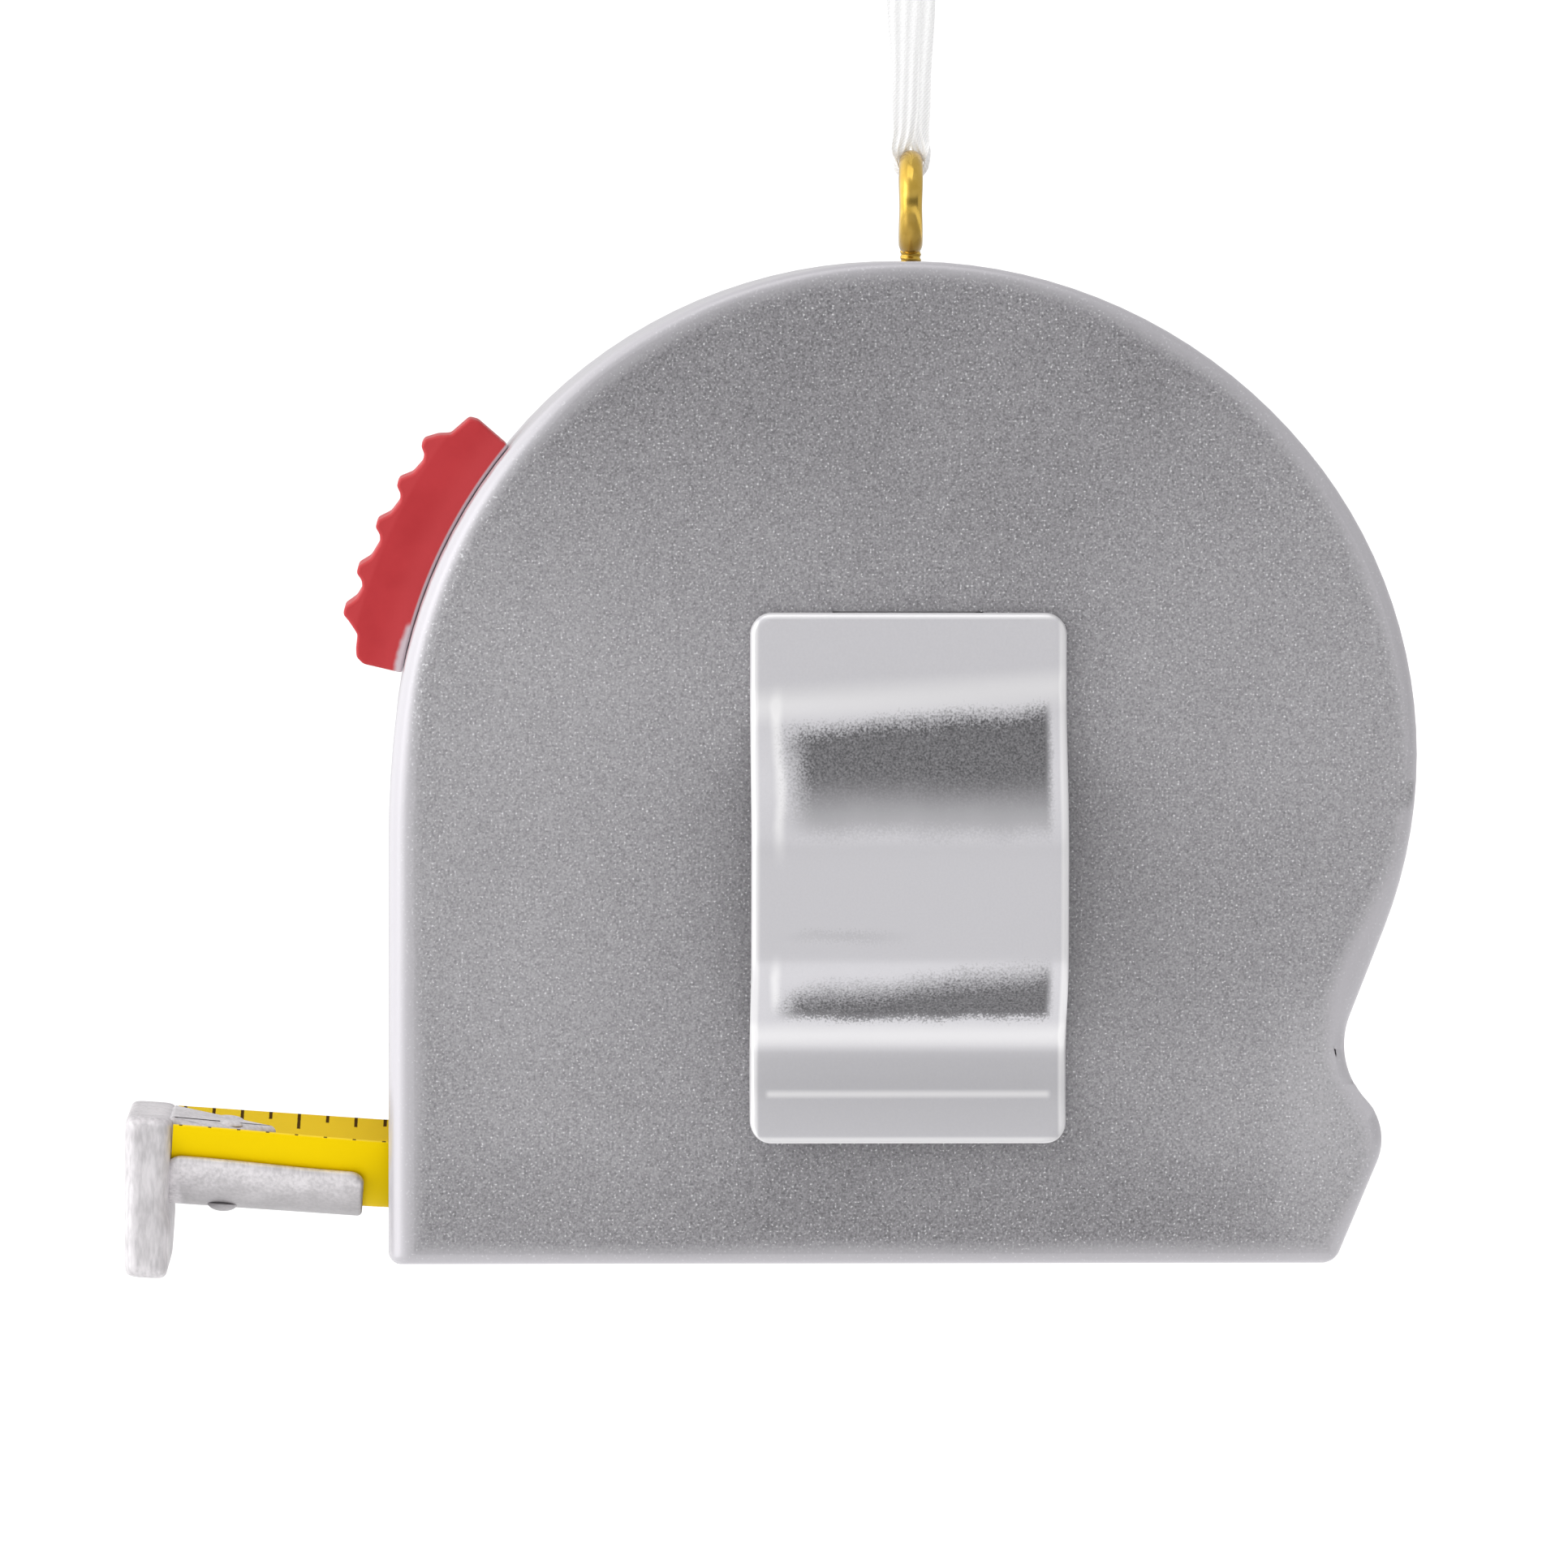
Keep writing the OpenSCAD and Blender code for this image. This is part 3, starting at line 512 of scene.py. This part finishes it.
def refaced(mesh):
    """The mesh with its flat outer face taken out and filled again from its own edge, because
    the bevel leaves it torn, and any small hole closed."""
    work = bmesh.new()
    work.from_mesh(mesh)
    face = [f for f in work.faces if abs(f.normal.y) > 0.9999
            and abs(abs(f.calc_center_median().y) - half) < 1e-6]
    way = math.copysign(1, face[0].normal.y)
    bmesh.ops.delete(work, geom=face, context="FACES")
    edges = [e for e in work.edges if e.is_boundary
             and all(abs(v.co.y * way - half) < 1e-6 for v in e.verts)]
    filled = bmesh.ops.triangle_fill(work, use_beauty=False, use_dissolve=False, edges=edges,
                                     normal=(0, way, 0))["geom"]
    for new in filled:
        if isinstance(new, bmesh.types.BMFace):
            new.normal_update()
            if new.normal.y * way < 0:
                new.normal_flip()
    bmesh.ops.holes_fill(work, edges=[e for e in work.edges if e.is_boundary])
    work.to_mesh(mesh)
    work.free()
    return mesh


def shell(name, node):
    """A shell's own mesh, merged, with each rim edge rounded to its share of the rim's radius.
    Its two flat faces, and the flat by the screw eye, are shaded flat."""
    work = bmesh.new()
    work.from_mesh(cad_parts[node].data)
    bmesh.ops.remove_doubles(work, verts=work.verts, dist=2e-6)
    bmesh.ops.dissolve_limit(work, angle_limit=math.radians(0.6), verts=work.verts,
                             edges=work.edges)
    weight = work.edges.layers.float.new("bevel_weight_edge")
    for edge in work.edges:
        edge[weight] = rim_share(edge)
    mesh = bpy.data.meshes.new(name)
    work.to_mesh(mesh)
    work.free()
    shape = bpy.data.objects.new(name + "_work", mesh)
    scene.collection.objects.link(shape)
    bevel = shape.modifiers.new("rim", "BEVEL")
    bevel.limit_method, bevel.offset_type = "WEIGHT", "OFFSET"
    bevel.width, bevel.segments, bevel.use_clamp_overlap = rim_r, 6, False
    done = refaced(bpy.data.meshes.new_from_object(
        shape.evaluated_get(bpy.context.evaluated_depsgraph_get())))
    bpy.data.objects.remove(shape)
    count = len(done.polygons)
    normal, centre = np.zeros(count * 3), np.zeros(count * 3)
    done.polygons.foreach_get("normal", normal)
    done.polygons.foreach_get("center", centre)
    flat = (np.abs(normal[1::3]) > 0.9999) | (np.abs(centre[1::3]) < 1e-6)
    flat |= (normal[2::3] > 0.98) & (np.abs(centre[0::3]) < 0.003) & (centre[2::3] > -0.029)
    done.set_sharp_from_angle(angle=math.radians(28))
    done.polygons.foreach_set("use_smooth", ~flat)
    return done


piece("shell_front", shell("shell_front", "case_front"), lacquer_done, "case", "case_paint",
      "case_front")
piece("shell_rear", shell("shell_rear", "case_rear"), lacquer_done, "case", "case_paint",
      "case_rear")

# ---- Belt clip: spring steel strip, stamped with rounded corners, its edges tumbled round, bent
# to a long level belly and an upturned toe, and hooked into the case by a bent tab.  It is
# sprayed a satin silver, with two dusted dark patches on the bends.  Painted highlights run over
# its bends and round its edges, and painted shade darkens the toe.
low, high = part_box("belt_clip")
clip_x, clip_half = (low.x + high.x) / 2 / MM - ARBOR[0], (high.x - low.x) / 2 / MM
clip_top, clip_foot = 8.8, low.z / MM - ARBOR[2]
clip_t, corner_r, clip_toe, clip_belly, toe_off = 1.0, 1.35, 4.0, 3.0, 1.2
rise_at, rise_l, fall_at, fall_l = 4.6, 10.0, 21.4, 5.8
clip_l = clip_top - clip_foot
tab_half, tab_l, tab_t, tab_rise = 4.5, 5.0, 0.95, 3.0


def plate(half_w, length, thick, corner, edge, n_across=60, n_along=150):
    """A plate with rounded corners and rounded edges, as a grid of rings along its length.  A
    point's distance in from the outline sets the half thickness: a quarter circle of radius
    `edge` at the outline, then flat.  Returns across, along and height, ring by ring."""
    def stops(size, n):
        """Places across a size, close together over the rounded edges and even between."""
        lead = edge * (1 - np.cos(np.linspace(0, np.pi / 2, 9)))
        rest = np.linspace(edge, size - edge, n)
        return np.r_[lead, rest[1:-1], size - lead[::-1]]
    s = stops(length, n_along)
    d = np.minimum(s, length - s)
    near = np.clip(corner - d, 0, corner)
    w = half_w - corner + np.sqrt(np.maximum(corner**2 - near**2, 0))
    u = stops(2.0 * half_w, n_across) / half_w - 1
    x = w[:, None] * u
    qx = np.abs(x) - (half_w - corner)
    qs = np.abs(s - length / 2)[:, None] - (length / 2 - corner)
    inside = -(np.hypot(np.maximum(qx, 0), np.maximum(qs, 0)) + np.minimum(np.maximum(qx, qs), 0)
               - corner)
    k = np.clip(edge - inside, 0, edge)
    h = thick / 2 - edge + np.sqrt(np.maximum(edge**2 - k**2, 0))
    h = np.where(inside < 1e-6, thick / 2 - edge, h)
    x = np.concatenate([x, x[:, ::-1]], 1)
    h = np.concatenate([h, -h[:, ::-1]], 1)
    return x, np.broadcast_to(s[:, None], x.shape), h


def clip_off(s):
    """How far the clip stands off the case: a smooth rise to a level belly, a steeper fall, and
    a parabola at the toe."""
    belly = ease(s, rise_at, rise_at + rise_l) - ease(s, fall_at, fall_at + fall_l)
    return clip_belly * belly + toe_off * (np.maximum(s - clip_l + clip_toe, 0) / clip_toe)**2


x, s, h = plate(clip_half, clip_l, clip_t - 0.02, corner_r, 0.42)
s_even = np.linspace(0, clip_l, 400)
bell = np.exp(-(np.arange(-14, 15) / 6)**2)
off_soft = np.convolve(np.pad(clip_off(s_even), 14, "edge"), bell / bell.sum(), "valid")
off = np.interp(s, s_even, off_soft)
lean = np.interp(s, s_even, np.gradient(off_soft, s_even))
fold = np.sqrt(1 + lean**2)
base_y = -half / MM - 0.05 - clip_t / 2
clip_rings = np.stack([clip_x + x, base_y - off - h / fold, clip_top - s - h * lean / fold], -1)
tab_x, tab_s, tab_h = plate(tab_half, tab_l, tab_t, 0.4, 0.3, 12, 40)
bend = ease(tab_s, tab_rise - 0.4, tab_rise + 0.6)
tab_rings = np.stack([clip_x + tab_x,
                      -half / MM - 0.6 + np.minimum(tab_s, tab_rise) - tab_h * bend,
                      clip_top - 0.8 + np.maximum(tab_s - tab_rise, 0) + tab_h * (1 - bend)], -1)
# The paint is worked out in millimetres: cx across from the strip's middle, drop down from its
# top.  The dust makes the edges of the dark patches ragged.
silver = Paint("clip_plate")
spot = silver.spot()
centred = silver.node("Mapping", {}, {"Vector": spot,
                                      "Location": tuple(-(ARBOR + [clip_x, 0, clip_top]) * MM)})
cx, _, cz = silver.split(silver.node("VectorMath", {"operation": "SCALE"},
                                     {0: centred, "Scale": 1 / MM}))
drop = 0 - cz
dust = silver.noise(spot, 7500.0, 1.0)
drift = silver.noise(spot, 240.0, 3.0)
ragged = (drift - 0.5) * 1.3 + (dust - 0.5) * 1.6


def sprayed(top_, foot_, left_, rise_, sharp, fade):
    """A dark patch sprayed across the steel.  Its top edge runs uphill to the right and is
    `sharp`, it thins out over `fade` above its foot, and its left end is soft."""
    return silver.ease(drop + cx * rise_ + ragged, top_ - sharp, top_ + sharp) * (
        1 - silver.ease(drop + ragged * 0.8, foot_ - fade, foot_)) * silver.ease(
        cx + ragged, left_, left_ + 2.6) * (1 - silver.ease(cx + ragged * 0.3, 8.3, 8.95))


def glint(line, middle, wide):
    """A soft painted highlight: a bright line, `wide` to each side of the middle."""
    return 1 - silver.ease((line - middle).do("ABSOLUTE"), 0.0, wide)


def between(line, start, full, less, end):
    """1 from `full` to `less`, easing from 0 at `start` and to 0 at `end`."""
    return silver.ease(line, start, full) * (1 - silver.ease(line, less, end))


upper = sprayed(6.7, 13.6, -8.4, 0.10, 0.75, 4.0) * 0.62 + sprayed(
    6.7, 14.2, -8.4, 0.10, 0.75, 1.6) * 0.36
lower = sprayed(22.8, 25.15, -8.8, 0.11, 1.1, 0.6)
smear = sprayed(19.3, 20.3, -8.6, 0.06, 0.4, 0.9) * (1 - silver.ease(cx, -4.0, 1.0)) * 0.3
spray = (upper + lower * 0.95 + smear) * (0.88 + (dust - 0.5) * 0.7)
spray = spray.do("MAXIMUM", 0.0).do("MINIMUM", 1.0)
# Painted highlights, as bright lines: over the upper bend, over the lower bend, along the foot,
# and down the left edge.
bent = cx + (drift - 0.5) * 0.9
shine = glint(drop + cx * 0.062, 5.15, 1.6) * 0.85 + glint(drop, 26.05, 1.15) * 0.85
shine = shine + glint(drop, 29.65, 0.36) * silver.ease(cx.do("ABSOLUTE") * -1, -8.9, -8.5)
shine = shine + glint(bent, -8.05, 0.55) * between(drop, 4.0, 6.5, 12.5, 16.0)
shine = shine + glint(bent, -8.3, 0.5) * between(drop, 20.5, 22.5, 23.5, 25.0)
# Painted highlight along the strip's rounded edges all round.
rim = silver.ease(cx.do("ABSOLUTE"), 9.15, 9.4) + silver.ease(
    (drop - 16.3).do("ABSOLUTE"), 15.85, 16.1)
# Painted shade on the upturned toe, which faces down.
toe = silver.ease(drop, 26.3, 27.2) * 0.24
base = silver.mix(dust, (0.64, 0.63, 0.66), (0.69, 0.68, 0.71))
base = silver.mix(toe, base, (0.22, 0.22, 0.23))
base = silver.mix(shine * 0.75 + rim * 0.7, base, (0.93, 0.92, 0.93))
base = silver.mix(spray, base, silver.mix(dust, (0.03, 0.03, 0.033), (0.09, 0.088, 0.094)))
silver_done = silver.coat(base, 0.30 + spray * 0.22, dust * (0.15 + spray), 0.25, 0.00003,
                          {"Metallic": 0.30 - spray * 0.2})
piece("clip_strip", joined("clip_strip", [skin("clip", clip_rings, at=ARBOR),
                                          skin("tab", tab_rings, at=ARBOR)]),
      silver_done, "clip", "clip_plate", "belt_clip")


# ---- Lock button: red moulded plastic with five rounded thumb ribs, each steep on its lower
# side.  It slides round the case's crown, and its stem reaches the black slide inside.
def outline(points, soft, count=360):
    """A closed outline, spaced evenly and then averaged round itself with a bell of that width,
    which rounds its corners."""
    p = np.vstack([points, points[:1]])
    q = evenly(p, count, endpoint=False)
    lag = np.minimum(np.arange(count), count - np.arange(count)) * distance_along(p)[-1] / count
    near = np.exp(-(lag / soft)**2)
    mend = np.fft.fft(near / near.sum())[:, None]
    return np.fft.ifft(np.fft.fft(q, axis=0) * mend, axis=0).real


def sideways(ring_):
    """A closed outline's direction of travel, turned a quarter left."""
    go = unit(np.roll(ring_, -1, 0) - np.roll(ring_, 1, 0))
    return np.stack([-go[:, 1], go[:, 0]], -1)


def bar(ring_, y0, y1, edge, steps=7):
    """A prism with rounded ends: the outline is carried from y0 to y1, and over the last `edge`
    of each end it moves in as a quarter circle, along the normals of a softer outline so that
    its corners never cross."""
    area = np.sum(ring_[:, 0] * np.roll(ring_[:, 1], -1) - ring_[:, 1] * np.roll(ring_[:, 0], -1))
    inward = sideways(outline(ring_, 2.5 * edge, len(ring_))) * np.sign(area)
    a = np.linspace(0, np.pi / 2, steps)
    inset = np.r_[edge * (1 - np.sin(a)), edge * (1 - np.sin(a[::-1]))]
    y = np.r_[y0 + edge * (1 - np.cos(a)), y1 - edge * (1 - np.cos(a[::-1]))]
    xz = ring_[None] + inward[None] * inset[:, None, None]
    return np.stack([xz[..., 0], np.broadcast_to(y[:, None], xz.shape[:2]), xz[..., 1]], -1)


def round_crown(pairs):
    """Points from (degrees, radius) pairs about the crown's centre."""
    degrees, radius = np.array(pairs).T
    return crown + radius[:, None] * np.stack([np.cos(np.radians(degrees)),
                                               np.sin(np.radians(degrees))], -1)


foot_r, button_half, stem_r, stem_half = 31.74, 5.0, 29.5, 2.5
profile = [(140.6, foot_r), (140.5, 34.2), (140.9, 34.7), (142.2, 34.85), (143.4, 35.0)]
for tip in (145.8, 150.4, 155.0, 159.9, 164.2):
    profile += [(tip - 1.6, 35.62), (tip - 0.45, 36.18), (tip + 0.25, 36.12), (tip + 0.75, 35.66),
                (tip + 1.5, 35.46)]
profile[-1] = (166.0, 34.95)
profile += [(167.4, 34.85), (168.3, 34.7), (168.85, 34.2), (169.0, foot_r)]
profile += [(a, foot_r) for a in np.linspace(168.6, 141, 60)]
stem = [(a, r) for r, span in ((stem_r, (149.5, 160)), (foot_r + 0.4, (160, 149.5)))
        for a in np.linspace(*span, 16)]
# The plastic is paler at the ribs' roots and at the foot, where a little of the case's silver
# has spilt on it.
scarlet = Paint("button_red")
spot = scarlet.spot()
px, _, pz = scarlet.split(spot)
reach = ((px - (ARBOR[0] + crown[0]) * MM).do("POWER", 2.0)
         + (pz - (ARBOR[2] + crown[1]) * MM).do("POWER", 2.0)).do("SQRT")
mould = scarlet.noise(spot, 350.0, 4.0)
fine = scarlet.noise(spot, 4000.0)
root = scarlet.ease(reach, 0.0350, 0.0353)
foot = 1 - scarlet.ease(reach, 0.0323, 0.0340)
red = scarlet.mix(scarlet.ease(mould, 0.3, 0.7), (0.475, 0.024, 0.030), (0.53, 0.032, 0.039))
red = scarlet.mix(0.55 * foot + 0.45 * root, red, (0.60, 0.055, 0.062))
spilt = (1 - scarlet.ease(reach + (mould - 0.5) * 0.0012, 0.03205, 0.03245)) * (
    scarlet.ease(pz, -0.0389, -0.0386) + 1 - scarlet.ease(pz, -0.0505, -0.0500))
spilt = (spilt * 0.85).do("MAXIMUM", 0.8 - 0.8 * scarlet.ease(reach, 0.03186, 0.03200))
red = scarlet.mix(spilt, red, (0.66, 0.63, 0.67))
scarlet_done = scarlet.coat(red, 0.42 + mould * 0.12, fine + mould, 0.12, 0.00003,
                            {"Specular IOR Level": 0.35})
piece("thumb_button", joined("thumb_button", [
    skin("ribs", bar(outline(round_crown(profile), 0.16, 720), -button_half, button_half, 0.2),
         at=ARBOR),
    skin("stem", bar(outline(round_crown(stem), 0.1), -stem_half, stem_half, 0.15), at=ARBOR)]),
      scarlet_done, "button", "button_red", "lock_button")

# ---- Blade: rolled steel tape, cupped upwards, enamelled yellow.  The graduations are printed
# inside, along both edges; every second one is longer, and every fourth is the longest.
mouth_x, edge_z = -31.61, -24.15
blade_w, blade_t, crown_d, blade_out, blade_in = 12.7, 0.3, 4.9, 13.3, 38.5
blade_r = (blade_w**2 / 4 + crown_d**2) / (2 * crown_d)
axis_z = edge_z - crown_d + blade_r
half_a = math.asin(blade_w / 2 / blade_r)
tilt = math.radians(4)
chord_z = axis_z - edge_z


def tilted(points):
    """From the frame of the stretch outside the mouth, origin on the crown's axis at the mouth
    and -X towards the hook, to the arbor's."""
    x_, y_, z_ = points[..., 0], points[..., 1], points[..., 2]
    return np.stack([mouth_x + x_ * math.cos(tilt) + z_ * math.sin(tilt), y_,
                     axis_z - x_ * math.sin(tilt) + z_ * math.cos(tilt)], -1)


# Stations along the blade, close together where it straightens at the mouth, and its slope and
# height at each, level at the inner end.
reach_ = np.r_[np.linspace(-blade_out + 0.02, -1.2, 60), np.linspace(-1.1, 1.1, 12),
               np.linspace(1.3, blade_in - 0.02, 60)]
slope = tilt * (1 - ease(reach_, -1.2, 1.2))
lift = np.r_[0, np.cumsum(np.diff(reach_) * -np.tan((slope[1:] + slope[:-1]) / 2))]
lift -= lift[-1]
# The section: an arc, with its edges rounded.  Its near edge dips a little more.
cup = np.linspace(-half_a, half_a, 70)
lip_a = np.linspace(0, np.pi, 7)[1:-1]
ring_a = np.r_[cup, np.full(len(lip_a), half_a), cup[::-1], np.full(len(lip_a), -half_a)]
ring_q = blade_t / 2 * np.r_[np.ones(len(cup)), np.cos(lip_a), -np.ones(len(cup)), -np.cos(lip_a)]
ring_rr = blade_r - blade_t / 2 + ring_q
dip = math.radians(1.5) + math.radians(1.7) * ease(reach_, -blade_out, 0)[:, None]
spun = ring_a + dip * ease(-ring_a, 0.6, half_a)
sweep = -ring_rr * np.cos(spun)
cos, sin = np.cos(slope)[:, None], np.sin(slope)[:, None]
blade_rings = np.stack([mouth_x + reach_[:, None] + sweep * sin, ring_rr * np.sin(spun),
                        axis_z + lift[:, None] + sweep * cos], -1)
shape = blade_rings.shape[:2]
blade_uv = np.stack([np.broadcast_to(reach_[:, None], shape),
                     np.broadcast_to(blade_r * (half_a - np.abs(ring_a)), shape)], -1)
inner = np.broadcast_to(np.where(ring_q < 0, 1.0, 0.0), shape)
tick_step, first_tick, tick_half = 1.80, -0.22, 0.085
enamel = Paint("blade_yellow")
spot = enamel.spot()
run, edge_in, _ = enamel.split(enamel.node("UVMap", {"uv_map": "uv"}))
count_ = (run - first_tick) * (1 / tick_step)
whole = count_.do("ROUND") - 1
off_line = (count_ - 1 - whole).do("ABSOLUTE") * tick_step
second = (whole * 0.5).do("FRACT").do("COMPARE", 0.0, 0.1)
fourth = (whole * 0.25).do("FRACT").do("COMPARE", 0.0, 0.1)
tick_l = 0.45 + second * 0.17 + fourth * 0.38
wander = enamel.noise(spot, 6000.0, 1.0)
mottle = enamel.noise(spot, 220.0, 3.0)
within = enamel.node("Attribute", {"attribute_name": "inner"}, output=2)
tick = (1 - enamel.ease(off_line + (wander - 0.5) * 0.03, tick_half, tick_half + 0.04)) \
    * (1 - enamel.ease(edge_in + (wander - 0.5) * 0.05, tick_l, tick_l + 0.06)) * within
yellow = enamel.mix(mottle, (0.92, 0.645, 0.0), (0.97, 0.69, 0.0))
yellow = enamel.mix(within, yellow, (0.93, 0.68, 0.040))
enamel_done = enamel.coat(
    enamel.mix(tick, yellow, (0.085, 0.045, 0.012)), 0.6 + mottle * 0.1, mottle + wander * 0.2,
    0.05, 0.00003, {"Specular IOR Level": 0.05})
piece("blade_tape", skin("blade_tape", blade_rings, at=ARBOR,
                         layers={"uv": blade_uv, "inner": inner}),
      enamel_done, "tape", "blade_yellow", "blade")

# ---- End hook: a thick brushed steel lip, a tongue that cups the blade's underside and a
# pointed one that fills its crown, all with tumbled edges; two domed rivets hold it, and their
# slots let it float by the lip's own thickness.
root_x = -blade_out - 0.05
lip_t, lip_h, lip_top, lip_half = 3.0, 10.05, -chord_z + 0.25, blade_w / 2 + 0.23
lip = outline(np.array([(root_x - 0.02, lip_top), (root_x - 0.02, -blade_r - 0.75),
                        (root_x + 0.3, -blade_r - 0.9), (root_x + 0.3, lip_top - lip_h),
                        (root_x - lip_t + 0.66, lip_top - lip_h), (root_x - lip_t, lip_top)]), 0.6)
tongue_r, tongue_t, tongue_half, tongue_l = blade_r + 0.05, 0.6, 6.88, 12.3
x, s, h = plate(tongue_half, tongue_l, tongue_t - 0.02, 0.9, 0.29, 60, 60)
around = x / (tongue_r + tongue_t / 2) * (1 - 0.05 * ease(s, 1, 11))
tongue_ring = tongue_r + tongue_t / 2 + h
tongue = np.stack([root_x - 0.2 + s, tongue_ring * np.sin(around),
                   -tongue_ring * np.cos(around)], -1)
# The pointed tongue is a plan carried down from its top, rounded over at the top, no wider than
# the blade's hollow, and swept up where it meets the lip.
spade_half, spade_tip, spade_foot, spade_edge = 4.55, 6.5, -6.1, 0.45
spade = outline(np.array([(root_x - 0.4, -spade_half), (root_x + 2.3, -spade_half),
                          (root_x + spade_tip, 0), (root_x + 2.3, spade_half),
                          (root_x - 0.4, spade_half)]), 0.35)
spade_top = -chord_z - 0.27
a = np.linspace(np.pi / 2, 0, 9)
levels = np.r_[spade_top - spade_edge * (1 - np.sin(a)),
               np.linspace(spade_top - 0.6, spade_foot, 12)]
inset = np.r_[spade_edge * (1 - np.cos(a)), np.zeros(12)]
plan = spade[None] + sideways(spade)[None] * inset[:, None, None]
room_y = np.sqrt(np.maximum((blade_r - blade_t - 0.06)**2 - levels**2, 0.01))[:, None]
fillet = 0.5 * np.exp(-np.maximum(plan[..., 0] - root_x, 0) / 1.3)
swept = levels[:, None] + fillet * ease(levels, spade_foot, spade_top)[:, None]
spade_rings = np.stack([plan[..., 0], np.clip(plan[..., 1], -room_y, room_y), swept], -1)
# The brushing runs up and down.  The tongue's lower side is darkened with painted shade, where
# its rounded bar turns away from the light, but the lip isn't.
brushed = Paint("brushed_hook")
spot = brushed.spot()
lines = brushed.noise(brushed.node("Mapping", {}, {
    "Vector": spot, "Scale": (4200.0, 4200.0, 1100.0)}), 1.0, 3.0)
wear = brushed.noise(spot, 520.0, 3.0)
patch = brushed.ease(lines * 0.55 + wear * 0.45, 0.30, 0.70)
px, _, pz = brushed.split(spot)
sole = pz + px * math.tan(tilt) - (ARBOR[2] + axis_z - tongue_r - tongue_t
                                   + (ARBOR[0] + mouth_x) * math.tan(tilt)) * MM
lip_x = ARBOR[0] + mouth_x - blade_out
tongue_painted_shade = (1 - brushed.ease(sole + (wear - 0.5) * 0.0006, 0.0004, 0.0026)) * brushed.ease(
    px, lip_x * MM, (lip_x + 0.6) * MM)
steel = brushed.mix(patch, (0.54, 0.52, 0.535), (0.80, 0.77, 0.79))
brushed_done = brushed.coat(brushed.mix(tongue_painted_shade * 0.8, steel, (0.34, 0.325, 0.335)),
                            0.52 - patch * 0.1, lines + wear, 0.14, 0.00003, {"Metallic": 0.3})
piece("hook_cast", joined("hook_cast", [
    skin("lip", tilted(bar(lip, -lip_half, lip_half, 0.9, 14)), at=ARBOR),
    skin("tongue", tilted(tongue), at=ARBOR),
    skin("spade", tilted(spade_rings), at=ARBOR)]),
      brushed_done, "hook", "brushed_hook", "end_hook")


def lathe(profile_):
    """A profile of (radius, height) pairs turned about Z."""
    r, z_ = np.array(profile_, float).T
    a_ = np.linspace(0, 2 * np.pi, 48, endpoint=False)
    return np.stack([r[:, None] * np.cos(a_), r[:, None] * np.sin(a_),
                     np.broadcast_to(z_[:, None], (len(r), len(a_)))], -1)


# A rivet has a low dome on the spade, a shank, and a higher dome under the tongue.
head_r, head_h, foot_h, shank_r, under_z = 0.95, 0.3, 0.5, 0.6, -6.85
rivet_x, rivet_y = -blade_out + 3.3, 1.8
dome = np.linspace(0.05, np.pi / 2, 10)
rivet = [(head_r * math.sin(a), spade_top + head_h * math.cos(a) + 0.02) for a in dome]
rivet += [(shank_r, spade_top), (shank_r, under_z + 0.1)]
rivet += [(head_r * math.sin(a), under_z - foot_h * math.cos(a)) for a in dome[::-1]]
rivets = [skin("rivet", tilted(lathe(rivet) + np.array([rivet_x, y, 0])), at=ARBOR)
          for y in (-rivet_y, rivet_y)]
piece("hook_rivet_heads", joined("hook_rivet_heads", rivets), brushed_done, "tape",
      "brushed_hook", "hook_rivets")

# ---- Badge, screws and works: a spun aluminium disc set in the rear face, plated steel screws,
# arbor and brake, blued springs, moulded black nylon reel, guide and slide, and rubber pads.
# Their shapes stay as they are in the frame, and each gets its own finish.
badge = Paint("badge_paint")
centred = badge.node("Mapping", {}, {"Vector": badge.spot(), "Location": tuple(-ARBOR * MM)})
cx, _, cz = badge.split(centred)
radius = (cx * cx + cz * cz).do("SQRT")
turned = badge.node("TexNoise", {"noise_dimensions": "1D"}, {"W": radius * 9000.0, "Detail": 2.0})
badge_done = badge.coat(badge.mix(turned, (0.55, 0.55, 0.56), (0.74, 0.74, 0.75)),
                        badge.ease(turned, 0.3, 0.7, 0.26, 0.38), turned, 0.3, 0.00002,
                        {"Metallic": 0.9})


def plain(name, dull, light, metal, rough, bump, scale=1500.0):
    """A finish with a fine grain between two tones, `scale` grains to a metre."""
    paint = Paint(name)
    grain_ = paint.noise(paint.spot(), scale, 3.0)
    return paint.coat(paint.mix(grain_, dull, light),
                      paint.ease(grain_, 0.3, 0.7, rough, rough + 0.12), grain_, bump, 0.00003,
                      {"Metallic": metal})


zinc = plain("bright_steel", (0.60, 0.60, 0.61), (0.75, 0.75, 0.76), 1.0, 0.22, 0.1)
spring_steel = plain("spring_steel", (0.30, 0.32, 0.36), (0.44, 0.46, 0.50), 1.0, 0.25, 0.1)
rubber = plain("black_rubber", (0.012, 0.012, 0.013), (0.03, 0.03, 0.03), 0.0, 0.65, 0.4)
nylon = plain("black_plastic", (0.018, 0.018, 0.02), (0.035, 0.035, 0.037), 0.0, 0.42, 0.25, 900.0)
wound = plain("blade_wound", (0.80, 0.56, 0.004), (0.90, 0.66, 0.012), 0.0, 0.36, 0.5, 2500.0)
for paint, nodes in (
        (badge_done, "rear_badge"),
        (zinc, "case_screws arbor arbor_screw reel_washers brake_pin brake_lever"),
        (spring_steel, "power_spring lock_spring"),
        (rubber, "mouth_bumper brake_pad"),
        (nylon, "blade_guide reel_drum reel_cover lock_slide"),
        (wound, "blade_coil")):
    for node in nodes.split():
        for slot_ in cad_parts[node].material_slots:
            slot_.material = paint
